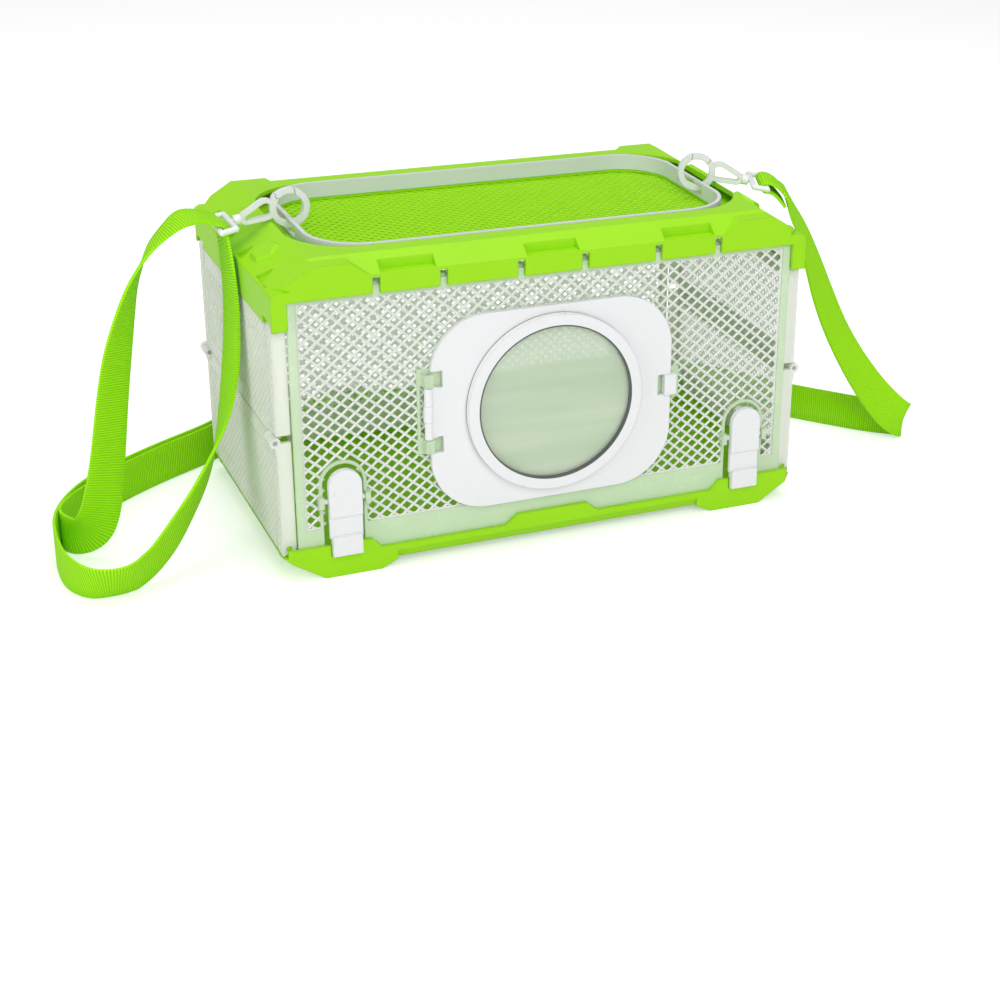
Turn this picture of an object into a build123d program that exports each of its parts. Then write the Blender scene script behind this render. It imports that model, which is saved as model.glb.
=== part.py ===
"""Pop-up insect cage: a green tray and a green roof frame joined by folding end walls.

Frame: origin on the table under the middle of the cage, X along the long side,
-Y towards the door, Z up. All sizes are in millimetres.
"""
from build123d import *
from math import cos, radians, sin
import os

# Overall sizes
CAGE_LENGTH = 267.0
CAGE_DEPTH = 144.0
CAGE_HEIGHT = 154.0
SHELL = 2.0
GAP = 0.3

# Tray
FEET_REACH = 114.2
FEET_INNER = 87.2
ARCH_INNER = 79.0
TRAY_CORNER = 4.0
ARCH_HEIGHT = 4.0
END_CHAMFER_TOP = 12.0
FLOOR_TOP = 6.0
END_FLOOR_THICKNESS = 1.4
RIM_TAB_TOP = 16.5
RIM_LOW_TOP = 11.5
CENTRE_TAB_TOP_HALF = 18.2
CENTRE_TAB_LOW_HALF = 24.2
CORNER_TAB_TOP_START = 91.3
CORNER_TAB_LOW_START = 86.5
END_RIM_TOP = 12.2
LOWER_BAND_TOP = 8.5
LOWER_BAND_SETBACK = 2.5

# Roof frame
SKIRT_BOTTOM = 137.5
FLANGE_BOTTOM = 124.5
FLANGE_THICKNESS = 1.8
FLANGE_CORNER_BOTTOM = 128.0
FLANGE_CORNER_START = 55.6
STEP_LINE = 146.5
BOSS_STEP_START = 88.0
BOSS_STEP_END = 97.0
BOSS_TOP = 152.8
RIDGE_HALF_LENGTH = 113.0
RIDGE_HALF_DEPTH = 62.0
BOSS_RIDGE_HALF_DEPTH = 66.0
END_FACE_BOTTOM = 141.0
CORNER_CUT = 9.0
END_LUMP = ((17.0, -3.0), (22.0, -7.5), (31.0, -7.0), (37.0, 1.0), (31.0, 7.0), (21.0, 6.0))
END_LUMP_RISE = 1.8
END_LUMP_TAPER = 35
END_HOLLOWS = ((9.0, 17.0), (43.0, 53.0))
END_HOLLOW_LOW = -10.5
END_HOLLOW_TOP = -2.5
END_HOLLOW_DEPTH = 1.3
POCKET_WIDTH = 26.0
POCKET_CENTRES = (-70.0, 0.0, 70.0)
POCKET_BOTTOM = 146.8
POCKET_TOP = 151.2
POCKET_DEPTH = 6.2
SLOT_WIDTH = 3.6
SLOT_TOP = 145.2
SLOT_CENTRES = (-85.3, -53.6, -16.0, 16.0, 53.6, 85.3)
OPENING_HALF_LENGTH = 113.6

# Liner ring, roof net and the plate that carries them
RING_HALF_LENGTH = 106.0
RING_HALF_DEPTH = 52.5
RING_CORNER = 27.0
RING_WALL = 2.0
RING_TOP = 154.5
HOOK_BAR_BOTTOM = 153.0
HOOK_WINDOW_HALF = 14.0
NET_BOTTOM = 143.8
NET_THICKNESS = 1.4
CARRIER_THICKNESS = 1.6
CARRIER_HALF_LENGTH = 128.0
CARRIER_HALF_DEPTH = 61.0
CARRIER_WEB = 2.0
CARRIER_LEDGE = 1.6

# Coarse nets stand in for the moulded diamond mesh
NET_PITCH = 13.0
NET_STRAND = 2.2

# End walls
END_AXIS_X = 130.0
BOTTOM_AXIS_Z = 16.0
TOP_AXIS_Z = 124.0
OVER_CENTRE = 3.8
PANEL_OUTER_X = 133.2
PANEL_DEPTH = 6.8
PANEL_SKIN = 1.6
PANEL_HALF_WIDTH = 67.2
POST_THICKNESS = 2.2
FOLD_GAP = 0.6
PANEL_FOOT_GAP = 0.5
END_NET_SIDE = 3.0
END_NET_MARGIN = 8.0
KNUCKLE_RADIUS = 3.2
KNUCKLE_LENGTH = 7.0
PIN_RADIUS = 1.3
PIN_CLEARANCE = 0.1
MID_KNUCKLE_RADIUS = 2.6
MID_KNUCKLE_LENGTH = 5.0
MID_PIN_RADIUS = 1.1
STUB_THICKNESS = 4.0

# Front and back walls
WALL_THICKNESS = 1.8
WALL_CENTRE_Y = 68.9
WALL_HALF_LENGTH = 126.1
WALL_BOTTOM = 9.5
WALL_NET_BOTTOM = 25.0
WALL_SIDE_BORDER = 4.0
ARCH_RIM = 1.6
DOOR_RIM = 6.0
HINGE_SURROUND = 67.2
CATCH_SURROUND = 67.0
FRONT_NET_TOP = 135.5
BACK_NET_TOP = 122.0
FRONT_AXIS_Y = 66.5
FRONT_AXIS_Z = 140.5
BACK_AXIS_Y = 67.6
BACK_AXIS_Z = 127.0
HINGE_ROD_RADIUS = 1.2
FRONT_BARREL_RADIUS = 2.3
BACK_BARREL_RADIUS = 2.0
BARREL_WIDTH = 5.0
BRACKET_CENTRES = (-70.0, -35.0, 35.0, 70.0)
BRACKET_WIDTH = 6.0

# Door
DOOR_HALF_WIDTH = 61.5
DOOR_BOTTOM = 24.0
DOOR_TOP = 122.0
DOOR_CORNER = 28.0
DOOR_THICKNESS = 2.6
DOOR_OPENING_HALF_WIDTH = 52.0
DOOR_OPENING_BOTTOM = 31.0
DOOR_OPENING_TOP = 115.0
DOOR_OPENING_CORNER = 22.0
BEZEL_CENTRE_Z = 74.0
BEZEL_RADIUS = 44.3
LENS_RADIUS = 38.4
BEZEL_HEIGHT = 4.0
LENS_THICKNESS = 1.6
LENS_RIM = 1.2
DOOR_AXIS_X = -62.6
DOOR_KNUCKLE_RADIUS = 2.0
DOOR_AXIS_OFFSET = 2.5
DOOR_PIN_RADIUS = 1.1
CLIP_THICKNESS = 0.5
DOOR_KNUCKLE_BOTTOM = 63.4
DOOR_KNUCKLE_TOP = 89.0
LUG_HEIGHT = 6.5
CATCH_BOTTOM = 68.5
CATCH_TOP = 79.0
CATCH_REACH = 3.8
CATCH_HOLE = 3.0
HINGE_SLOT_WIDTH = 3.0

# Latches
LATCH_X = 104.0
LATCH_PIVOT_Z = 38.8
LATCH_PIVOT_Y = 70.6
PADDLE_WIDTH = 15.8
PADDLE_TOP = 54.9
PADDLE_OUTER_Y = 74.2
PADDLE_INNER_Y = 71.2
PAD_DROP = 7.5
PAD_RISE = 0.9
BLOCK_WIDTH = 14.2
BLOCK_TOP = 20.6
BLOCK_BOTTOM = 11.8
BLOCK_OUTER_Y = 75.2
BLOCK_OVER_RIM = 0.6
LATCH_SLOT_HALF = 9.8
LATCH_SLOT_TOP = 56.4
LUG_OUTER_Y = 73.0
NUB_RADIUS = 1.2
LATCH_LUG = 2.6
LUG_BLOCK_HEIGHT = 5.6

# Strap, snap hooks and slider
WEB_WIDTH = 20.0
WEB_THICKNESS = 1.5
HOOK_WIRE = 1.5
HOOK_X = 104.2
HOOK_Z = 159.0
HOOK_SLOPE = 9.0
RIGHT_HOOK_Y = 7.0
RIGHT_HOOK_YAW = 20.0
HOOK_RING_RADIUS = 8.0
HOOK_THICKNESS = 3.0
EYE_WIDE_X = 11.4
EYE_WIDE_RADIUS = 5.2
EYE_RISE = 1.8
EYE_NARROW_X = 20.8
EYE_NARROW_RADIUS = 3.2
EYE_WALL = 2.2
SOCKET_RADIUS = 2.6
SOCKET_LENGTH = 3.4
SWIVEL_PIN_RADIUS = 1.2
GATE_START = 60.0
GATE_TIP_X = -3.9
GATE_THICKNESS = 2.6
LOOP_NEAR_X = 28.6
LOOP_BAR_X = 35.4
LOOP_HALF = 13.0
LOOP_TAPER = 1.0
LOOP_WIRE = 1.4
SLIDER_X = -56.0
SLIDER_Y = 95.0
SLIDER_HALF_LENGTH = 12.2
SLIDER_BAR = 2.6
SLIDER_MIDDLE_BAR = 3.2
SLIDER_HEIGHT = 25.4
SLIDER_RAIL = 2.0
SLIDER_THICKNESS = 2.4

HALF_LENGTH = CAGE_LENGTH / 2
HALF_DEPTH = CAGE_DEPTH / 2
FLANGE_OUTER_X = HALF_LENGTH
MID_AXIS_X = END_AXIS_X + OVER_CENTRE
EYE_END_X = EYE_NARROW_X + EYE_NARROW_RADIUS
MID_AXIS_Z = (BOTTOM_AXIS_Z + TOP_AXIS_Z) / 2
WALL_OUTER_Y = WALL_CENTRE_Y + WALL_THICKNESS / 2
WALL_INNER_Y = WALL_CENTRE_Y - WALL_THICKNESS / 2
DOOR_BACK_Y = WALL_OUTER_Y + 0.2
DOOR_FRONT_Y = DOOR_BACK_Y + DOOR_THICKNESS
DOOR_AXIS_Y = DOOR_BACK_Y + DOOR_AXIS_OFFSET
RIM_INNER_Y = HALF_DEPTH - SHELL


def box(x, y, z):
    """A box between two limits on each axis."""
    size = (x[1] - x[0], y[1] - y[0], z[1] - z[0])
    middle = ((x[0] + x[1]) / 2, (y[0] + y[1]) / 2, (z[0] + z[1]) / 2)
    return Pos(*middle) * Box(*size)


def front_plane(y):
    """Plane across the cage at y whose own axes are X and Z, facing -Y."""
    return Plane(origin=(0, y, 0), x_dir=(1, 0, 0), z_dir=(0, -1, 0))


def side_plane(x):
    """Plane along the depth at x whose own axes are Y and Z, facing +X."""
    return Plane(origin=(x, 0, 0), x_dir=(0, 1, 0), z_dir=(1, 0, 0))


def outline(plane, points):
    """A flat face through points given on a plane."""
    wire = Wire.make_polygon([plane.from_local_coords(Vector(u, v, 0)) for u, v in points])
    return Face(wire)


def across(points, y):
    """A prism of an X-Z outline between two values of y."""
    return extrude(outline(front_plane(y[1]), points), y[1] - y[0], dir=(0, -1, 0))


def along(points, x):
    """A prism of a Y-Z outline between two values of x."""
    return extrude(outline(side_plane(x[0]), points), x[1] - x[0], dir=(1, 0, 0))


def rod(start, direction, radius, length):
    """A round bar from a start point along a direction."""
    return Solid.make_cylinder(radius, length, Plane(origin=start, z_dir=direction))


def rounded_plate(plane, half_width, low, high, corner, thickness):
    """A rounded rectangle on a plane, extruded along the plane's normal."""
    middle = (low + high) / 2
    face = Pos(0, middle) * RectangleRounded(2 * half_width, high - low, corner)
    return extrude(plane * face, thickness)


def diamond_wires(plane, centres, half):
    """Closed diamond outlines on a plane, one for each centre."""
    wires = []
    for u, v in centres:
        corners = [(u + half, v), (u, v + half), (u - half, v), (u, v - half)]
        wires.append(Wire.make_polygon([plane.from_local_coords(Vector(a, b, 0)) for a, b in corners]))
    return wires


def diamond_centres(u_limits, v_limits, keep=lambda u, v: True):
    """Staggered centres of the net's gaps that fit inside two limits."""
    half = NET_PITCH / 2
    columns = int((u_limits[1] - u_limits[0] - NET_PITCH) // half) + 1
    rows = int((v_limits[1] - v_limits[0] - NET_PITCH) // half) + 1
    u_start = (u_limits[0] + u_limits[1]) / 2 - (columns - 1) * half / 2
    v_start = (v_limits[0] + v_limits[1]) / 2 - (rows - 1) * half / 2
    found = []
    for i in range(columns):
        for j in range(rows):
            u, v = u_start + i * half, v_start + j * half
            if (i + j) % 2 == 0 and keep(u, v):
                found.append((u, v))
    return found


def holed_plate(plane, face, centres, thickness):
    """A flat face with diamond gaps, extruded along the plane's normal."""
    gaps = diamond_wires(plane, centres, (NET_PITCH - NET_STRAND) / 2)
    inner = list(face.inner_wires()) + gaps
    return extrude(Face(face.outer_wire(), inner), thickness, dir=plane.z_dir)


def both_ends(part):
    """A part with its mirror image at the other end of the cage."""
    return part + mirror(part, Plane.YZ)


def both_sides(part):
    """A part with its mirror image at the other side of the cage."""
    return part + mirror(part, Plane.XZ)


def tray():
    """Tray with feet, tabbed rims and the stubs that carry the end walls."""
    shape = [(-FEET_REACH, 0), (-HALF_LENGTH, END_CHAMFER_TOP), (-HALF_LENGTH, RIM_TAB_TOP)]
    shape += [(HALF_LENGTH, RIM_TAB_TOP), (HALF_LENGTH, END_CHAMFER_TOP), (FEET_REACH, 0)]
    shape += [(FEET_INNER, 0), (ARCH_INNER, ARCH_HEIGHT)]
    shape += [(-ARCH_INNER, ARCH_HEIGHT), (-FEET_INNER, 0)]
    plan = chamfer(Rectangle(CAGE_LENGTH, CAGE_DEPTH).vertices(), TRAY_CORNER)
    body = across(shape, (-HALF_DEPTH, HALF_DEPTH)) & extrude(plan, RIM_TAB_TOP + 1)
    inside_x = END_AXIS_X - KNUCKLE_RADIUS - 0.6
    slope = END_CHAMFER_TOP / (HALF_LENGTH - FEET_REACH)
    rise = END_FLOOR_THICKNESS * (1 + slope**2) ** 0.5
    floor_end = FEET_REACH + (FLOOR_TOP - rise) / slope
    end_floor_top = slope * (inside_x - FEET_REACH) + rise
    inside = [(-inside_x, 30), (-inside_x, end_floor_top), (-floor_end, FLOOR_TOP)]
    inside += [(floor_end, FLOOR_TOP), (inside_x, end_floor_top), (inside_x, 30)]
    body -= across(inside, (-RIM_INNER_Y, RIM_INNER_Y))
    body -= both_ends(box((inside_x - 1, HALF_LENGTH + 1), (-RIM_INNER_Y, RIM_INNER_Y), (END_RIM_TOP, 30)))
    for side in (-1, 1):
        dip = [(side * CENTRE_TAB_TOP_HALF, RIM_TAB_TOP + 1), (side * CENTRE_TAB_TOP_HALF, RIM_TAB_TOP)]
        dip += [(side * CENTRE_TAB_LOW_HALF, RIM_LOW_TOP), (side * CORNER_TAB_LOW_START, RIM_LOW_TOP)]
        dip += [(side * CORNER_TAB_TOP_START, RIM_TAB_TOP), (side * CORNER_TAB_TOP_START, RIM_TAB_TOP + 1)]
        body -= across(dip, (-HALF_DEPTH - 1, HALF_DEPTH + 1))
    setback = [(-HALF_DEPTH, LOWER_BAND_TOP), (-HALF_DEPTH + LOWER_BAND_SETBACK, ARCH_HEIGHT)]
    setback += [(-HALF_DEPTH - 1, ARCH_HEIGHT)]
    body -= both_sides(along(setback, (-ARCH_INNER, ARCH_INNER)))
    notch = (LATCH_X - BLOCK_WIDTH / 2 - GAP, LATCH_X + BLOCK_WIDTH / 2 + GAP)
    for y in ((-HALF_DEPTH - 1, -RIM_INNER_Y + 0.5), (RIM_INNER_Y - 0.5, HALF_DEPTH + 1)):
        body -= both_ends(box(notch, y, (BLOCK_BOTTOM - 0.8, RIM_TAB_TOP + 1)))
    return body + both_sides(both_ends(tray_stub()))


def tray_stub():
    """Post and pin at one corner that carry an end wall's lower knuckle."""
    stub_y = PANEL_HALF_WIDTH - KNUCKLE_LENGTH - GAP
    post = box((END_AXIS_X - 2.4, END_AXIS_X + 2.4), (stub_y - STUB_THICKNESS, stub_y), (9, BOTTOM_AXIS_Z))
    post += rod((END_AXIS_X, stub_y - STUB_THICKNESS, BOTTOM_AXIS_Z), (0, 1, 0), 2.4, STUB_THICKNESS)
    return post + rod((END_AXIS_X, stub_y, BOTTOM_AXIS_Z), (0, 1, 0), PIN_RADIUS, KNUCKLE_LENGTH)


def roof_outer(inset):
    """The roof frame's outer form, drawn in by an inset for its hollow."""
    y_edge, x_edge = HALF_DEPTH - inset, FLANGE_OUTER_X - (inset and FLANGE_THICKNESS)
    top, low = CAGE_HEIGHT - inset, 100
    slope = [(-y_edge, low), (-y_edge, STEP_LINE - inset), (-RIDGE_HALF_DEPTH + inset / 2, top)]
    slope += [(RIDGE_HALF_DEPTH - inset / 2, top), (y_edge, STEP_LINE - inset), (y_edge, low)]
    ends = [(-x_edge, low), (-x_edge, END_FACE_BOTTOM - inset), (-RIDGE_HALF_LENGTH + inset / 2, top)]
    ends += [(RIDGE_HALF_LENGTH - inset / 2, top), (x_edge, END_FACE_BOTTOM - inset), (x_edge, low)]
    return along(slope, (-x_edge, x_edge)) & across(ends, (-y_edge, y_edge))


def corner_boss(inset):
    """One raised corner of the roof frame, at +X and -Y."""
    start, end = BOSS_STEP_START + inset, BOSS_STEP_END + inset
    top, reach = BOSS_TOP - inset, FLANGE_OUTER_X - (inset and FLANGE_THICKNESS)
    shape = [(start, STEP_LINE - 4), (start, STEP_LINE - inset), (end, top)]
    shape += [(RIDGE_HALF_LENGTH + 1.5, top), (reach, END_FACE_BOTTOM - inset), (reach, STEP_LINE - 9)]
    front = across(shape, (-HALF_DEPTH + inset, -RIDGE_HALF_DEPTH + 6))
    rise = [(-HALF_DEPTH, top), (-BOSS_RIDGE_HALF_DEPTH, CAGE_HEIGHT - inset), (-40, CAGE_HEIGHT - inset)]
    return front & along(rise + [(-40, 130), (-HALF_DEPTH, 130)], (80, 140))


def roof_solid(inset):
    """Roof form with its four raised corners."""
    corners = both_sides(both_ends(corner_boss(inset)))
    body = roof_outer(inset) + corners
    cut = CORNER_CUT
    edge_x, edge_y = FLANGE_OUTER_X + 0.1, HALF_DEPTH + 0.1
    plan = Polyline((edge_x, edge_y - cut), (edge_x - cut, edge_y), (edge_x + 5, edge_y + 5), close=True)
    wedge = extrude(Plane.XY.offset(END_FACE_BOTTOM + 1.5) * make_face(plan), 20, dir=(0, 0, 1))
    return body if inset else body - both_sides(both_ends(wedge))


def cavity():
    """The hollow inside the roof frame's shell."""
    return roof_solid(SHELL)


def ring_outline(grow, height, low):
    """A rounded bar of the liner ring's outline, grown outwards, standing at a height."""
    shape = RectangleRounded(2 * (RING_HALF_LENGTH + grow), 2 * (RING_HALF_DEPTH + grow), RING_CORNER + grow)
    return extrude(Plane.XY.offset(low) * shape, height)


def roof_frame():
    """Green roof shell with skirt slots, pockets, hinge brackets and corner posts."""
    body = roof_solid(0) - cavity()
    body -= box((-200, 200), (-200, 200), (0, FLANGE_BOTTOM))
    front_gap = PANEL_OUTER_X - PANEL_DEPTH
    body -= box((-front_gap, front_gap), (-100, -RIM_INNER_Y + 1), (100, SKIRT_BOTTOM))
    opening = RectangleRounded(2 * OPENING_HALF_LENGTH, 2 * (RING_HALF_DEPTH + 0.4), RING_CORNER + 3)
    body -= extrude(Plane.XY.offset(CAGE_HEIGHT - 12) * opening, 20)
    for x in POCKET_CENTRES:
        reach = (x - POCKET_WIDTH / 2, x + POCKET_WIDTH / 2)
        body -= box(reach, (-HALF_DEPTH - 1, -HALF_DEPTH + POCKET_DEPTH), (POCKET_BOTTOM, POCKET_TOP))
        lip = (reach[0] - 1.2, reach[1] + 1.2)
        shell = box(lip, (-HALF_DEPTH + 1, -HALF_DEPTH + POCKET_DEPTH + 1.2),
                    (POCKET_BOTTOM - 1.2, POCKET_TOP + 1))
        shell -= box(reach, (-HALF_DEPTH - 1, -HALF_DEPTH + POCKET_DEPTH), (POCKET_BOTTOM, POCKET_TOP + 3))
        body += shell & roof_solid(0)
    for x in SLOT_CENTRES:
        slot = (x - SLOT_WIDTH / 2, x + SLOT_WIDTH / 2)
        body -= box(slot, (-HALF_DEPTH - 1, -HALF_DEPTH + SHELL + 0.2), (SKIRT_BOTTOM - 1, SLOT_TOP))
    for side in (-1, 1):
        corner = sorted((side * FLANGE_CORNER_START, side * RIM_INNER_Y))
        body -= both_ends(box((FLANGE_OUTER_X - 6, FLANGE_OUTER_X + 1), corner, (100, FLANGE_CORNER_BOTTOM)))
    body += both_sides(both_ends(end_lump()))
    body -= both_sides(both_ends(end_hollows()))
    body += hinge_brackets()
    return body + both_sides(both_ends(roof_stub()))


def end_slope():
    """Plane on the sloping end face at +X: its X is the cage's Y, its Y runs up the slope."""
    low, high = Vector(FLANGE_OUTER_X, 0, END_FACE_BOTTOM), Vector(RIDGE_HALF_LENGTH, 0, CAGE_HEIGHT)
    upwards = (high - low).normalized()
    return Plane(origin=tuple((low + high) / 2), x_dir=(0, 1, 0), z_dir=tuple(Vector(0, 1, 0).cross(upwards)))


def end_lump():
    """Raised facet on the end face, on its +Y half."""
    face = make_face(Polyline(*END_LUMP, close=True))
    return extrude(end_slope().offset(-0.5) * face, END_LUMP_RISE + 0.5, taper=END_LUMP_TAPER)


def end_hollows():
    """Two three-cornered hollows low on the end face, on its +Y half."""
    plane = end_slope().offset(-END_HOLLOW_DEPTH)
    hollows = []
    for start, end in END_HOLLOWS:
        peak = ((start + end) / 2, END_HOLLOW_TOP)
        shape = Polyline((start, END_HOLLOW_LOW), (end, END_HOLLOW_LOW), peak, close=True)
        hollows.append(extrude(plane * make_face(shape), 4))
    return hollows[0] + hollows[1]


def hinge_brackets():
    """Blocks behind the skirts that hold the two hinge rods."""
    blocks = []
    for x in BRACKET_CENTRES:
        reach = (x - BRACKET_WIDTH / 2, x + BRACKET_WIDTH / 2)
        front = box(reach, (-RIM_INNER_Y - 0.5, -FRONT_AXIS_Y + 2.5), (FRONT_AXIS_Z - 2.5, FRONT_AXIS_Z + 3))
        front -= rod((x - 5, -FRONT_AXIS_Y, FRONT_AXIS_Z), (1, 0, 0), HINGE_ROD_RADIUS, 10)
        back = box(reach, (BACK_AXIS_Y - 2.0, RIM_INNER_Y + 0.5), (BACK_AXIS_Z - 2.2, BACK_AXIS_Z + 2.5))
        back -= rod((x - 5, BACK_AXIS_Y, BACK_AXIS_Z), (1, 0, 0), HINGE_ROD_RADIUS, 10)
        blocks += [front, back]
    return blocks


def roof_stub():
    """Corner post and pin under the roof for an end wall's open upper knuckle."""
    stub_y = PANEL_HALF_WIDTH - KNUCKLE_LENGTH - GAP
    post = box((END_AXIS_X - 2.4, END_AXIS_X + 2.4), (stub_y - STUB_THICKNESS, stub_y), (TOP_AXIS_Z, 142.3))
    post += rod((END_AXIS_X, stub_y - STUB_THICKNESS, TOP_AXIS_Z), (0, 1, 0), 2.4, STUB_THICKNESS)
    post += rod((END_AXIS_X, stub_y, TOP_AXIS_Z), (0, 1, 0), PIN_RADIUS, KNUCKLE_LENGTH)
    corner = box((PANEL_OUTER_X - PANEL_DEPTH, FLANGE_OUTER_X), (PANEL_HALF_WIDTH + GAP, HALF_DEPTH),
                 (127.6, 140))
    return post + corner


def roof_carrier():
    """Plate under the roof shell that carries the liner ring and the net."""
    low = NET_BOTTOM + NET_THICKNESS
    plate = box((-CARRIER_HALF_LENGTH, CARRIER_HALF_LENGTH), (-CARRIER_HALF_DEPTH, CARRIER_HALF_DEPTH),
                (low, 160))
    hollow = (CARRIER_HALF_LENGTH - CARRIER_WEB, CARRIER_HALF_DEPTH - CARRIER_WEB)
    plate -= box((-hollow[0], hollow[0]), (-hollow[1], hollow[1]), (low + CARRIER_THICKNESS, 161))
    plate -= ring_outline(-CARRIER_LEDGE, 40, low - 1)
    post_y = PANEL_HALF_WIDTH - KNUCKLE_LENGTH - GAP
    posts = box((END_AXIS_X - 3, END_AXIS_X + 3), (post_y - STUB_THICKNESS - 0.3, post_y + 0.3),
                (low - 1, 161))
    return (plate & cavity()) - both_sides(both_ends(posts))


def liner_ring():
    """White ring in the roof opening, with a window at each end under the hook bar."""
    low = NET_BOTTOM + NET_THICKNESS + CARRIER_THICKNESS
    ring = ring_outline(0, RING_TOP - low, low) - ring_outline(-RING_WALL, 40, low - 1)
    window = box((RING_HALF_LENGTH - 6, RING_HALF_LENGTH + 1), (-HOOK_WINDOW_HALF, HOOK_WINDOW_HALF),
                 (low + 1.2, HOOK_BAR_BOTTOM))
    return ring - both_ends(window)


def roof_net():
    """Flat net under the carrier plate that closes the roof opening."""
    plane = Plane.XY.offset(NET_BOTTOM)
    half_x, half_y = RING_HALF_LENGTH, RING_HALF_DEPTH + 1
    face = (plane * RectangleRounded(2 * half_x, 2 * half_y, RING_CORNER)).faces()[0]
    inner_x, inner_y, corner = RING_HALF_LENGTH - 4.5, RING_HALF_DEPTH - 4.5, RING_CORNER - 4

    def clear_of_corner(u, v):
        over_x = abs(u) + NET_PITCH / 2 - (inner_x - corner)
        over_y = abs(v) + NET_PITCH / 2 - (inner_y - corner)
        return over_x < 0 or over_y < 0 or over_x**2 + over_y**2 < corner**2

    centres = diamond_centres((-inner_x, inner_x), (-inner_y, inner_y), clear_of_corner)
    return holed_plate(plane, face, centres, NET_THICKNESS)


def end_net_limits(low, high):
    """Limits of the net in one half of an end wall, across and up."""
    half = PANEL_HALF_WIDTH - POST_THICKNESS - END_NET_SIDE
    return (-half, half), (low, high)


def end_panel(low, high, net):
    """Border, flanges and net opening of one half of the left end wall."""
    skin = (-PANEL_OUTER_X, -PANEL_OUTER_X + PANEL_SKIN)
    panel = box(skin, (-PANEL_HALF_WIDTH, PANEL_HALF_WIDTH), (low, high))
    across_net, up = end_net_limits(*net)
    panel -= box((skin[0] - 1, skin[1] + 1), across_net, up)
    depth = (-PANEL_OUTER_X, -PANEL_OUTER_X + PANEL_DEPTH)
    post = box(depth, (PANEL_HALF_WIDTH - POST_THICKNESS, PANEL_HALF_WIDTH), (low, high))
    return panel + both_sides(post)


def end_net(low, high):
    """The net in one half of the left end wall."""
    plane = side_plane(-PANEL_OUTER_X)
    (left, right), _ = end_net_limits(low, high)
    face = outline(plane, [(left, low), (right, low), (right, high), (left, high)])
    centres = diamond_centres((left + 1, right - 1), (low + 0.5, high - 0.5))
    return holed_plate(plane, face, centres, PANEL_SKIN)


LOWER_NET = (BOTTOM_AXIS_Z + END_NET_MARGIN, MID_AXIS_Z - END_NET_MARGIN)
UPPER_NET = (MID_AXIS_Z + END_NET_MARGIN, TOP_AXIS_Z - END_NET_MARGIN)


def knuckle(axis_x, axis_z, radius, start, length, bore):
    """A round knuckle along Y at the -X end of the cage, with its bore."""
    barrel = rod((-axis_x, start, axis_z), (0, 1, 0), radius, length)
    return barrel - rod((-axis_x, start - 1, axis_z), (0, 1, 0), bore, length + 2)


def stub_gap(z):
    """Clearance in an end wall for the stub post that carries its knuckle."""
    stub_y = PANEL_HALF_WIDTH - KNUCKLE_LENGTH - GAP
    return both_sides(box((-PANEL_OUTER_X - 1, -120), (stub_y - STUB_THICKNESS - GAP, stub_y + GAP), z))


def mid_gap(start, z):
    """Clearance in one half for the other half's knuckle at mid height."""
    reach = (start - GAP, start + MID_KNUCKLE_LENGTH + GAP)
    return both_sides(box((-PANEL_OUTER_X - 1, -120), reach, z))


def mid_knuckle(start, bore):
    """A knuckle at mid height with the web that joins it to its half."""
    return both_sides(knuckle(MID_AXIS_X, MID_AXIS_Z, MID_KNUCKLE_RADIUS, start, MID_KNUCKLE_LENGTH,
                              bore))


LOWER_MID_START = PANEL_HALF_WIDTH - MID_KNUCKLE_LENGTH
UPPER_MID_START = LOWER_MID_START - MID_KNUCKLE_LENGTH - GAP


def left_lower_panel():
    """Lower half of the left end wall."""
    high = MID_AXIS_Z - FOLD_GAP / 2
    panel = end_panel(BOTTOM_AXIS_Z, high, LOWER_NET)
    panel += box((-PANEL_OUTER_X, -PANEL_OUTER_X + PANEL_SKIN), (-PANEL_HALF_WIDTH, PANEL_HALF_WIDTH),
                 (END_RIM_TOP + PANEL_FOOT_GAP, BOTTOM_AXIS_Z))
    panel -= stub_gap((0, BOTTOM_AXIS_Z + 7))
    clear = MID_KNUCKLE_RADIUS + 0.6
    panel -= mid_gap(UPPER_MID_START, (MID_AXIS_Z - clear, 200))
    web = box((-MID_AXIS_X, -PANEL_OUTER_X + PANEL_SKIN), (LOWER_MID_START, PANEL_HALF_WIDTH),
              (high - 6, high))
    panel += both_sides(web)
    bore = PIN_RADIUS + PIN_CLEARANCE
    start = PANEL_HALF_WIDTH - KNUCKLE_LENGTH
    disc = rod((-END_AXIS_X, start, BOTTOM_AXIS_Z), (0, 1, 0), KNUCKLE_RADIUS, KNUCKLE_LENGTH)
    panel = panel - both_sides(disc) - both_sides(rod((-MID_AXIS_X, LOWER_MID_START, MID_AXIS_Z), (0, 1, 0),
                                                      MID_KNUCKLE_RADIUS, MID_KNUCKLE_LENGTH))
    panel += both_sides(knuckle(END_AXIS_X, BOTTOM_AXIS_Z, KNUCKLE_RADIUS, start, KNUCKLE_LENGTH, bore))
    return panel + mid_knuckle(LOWER_MID_START, MID_PIN_RADIUS)


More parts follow.
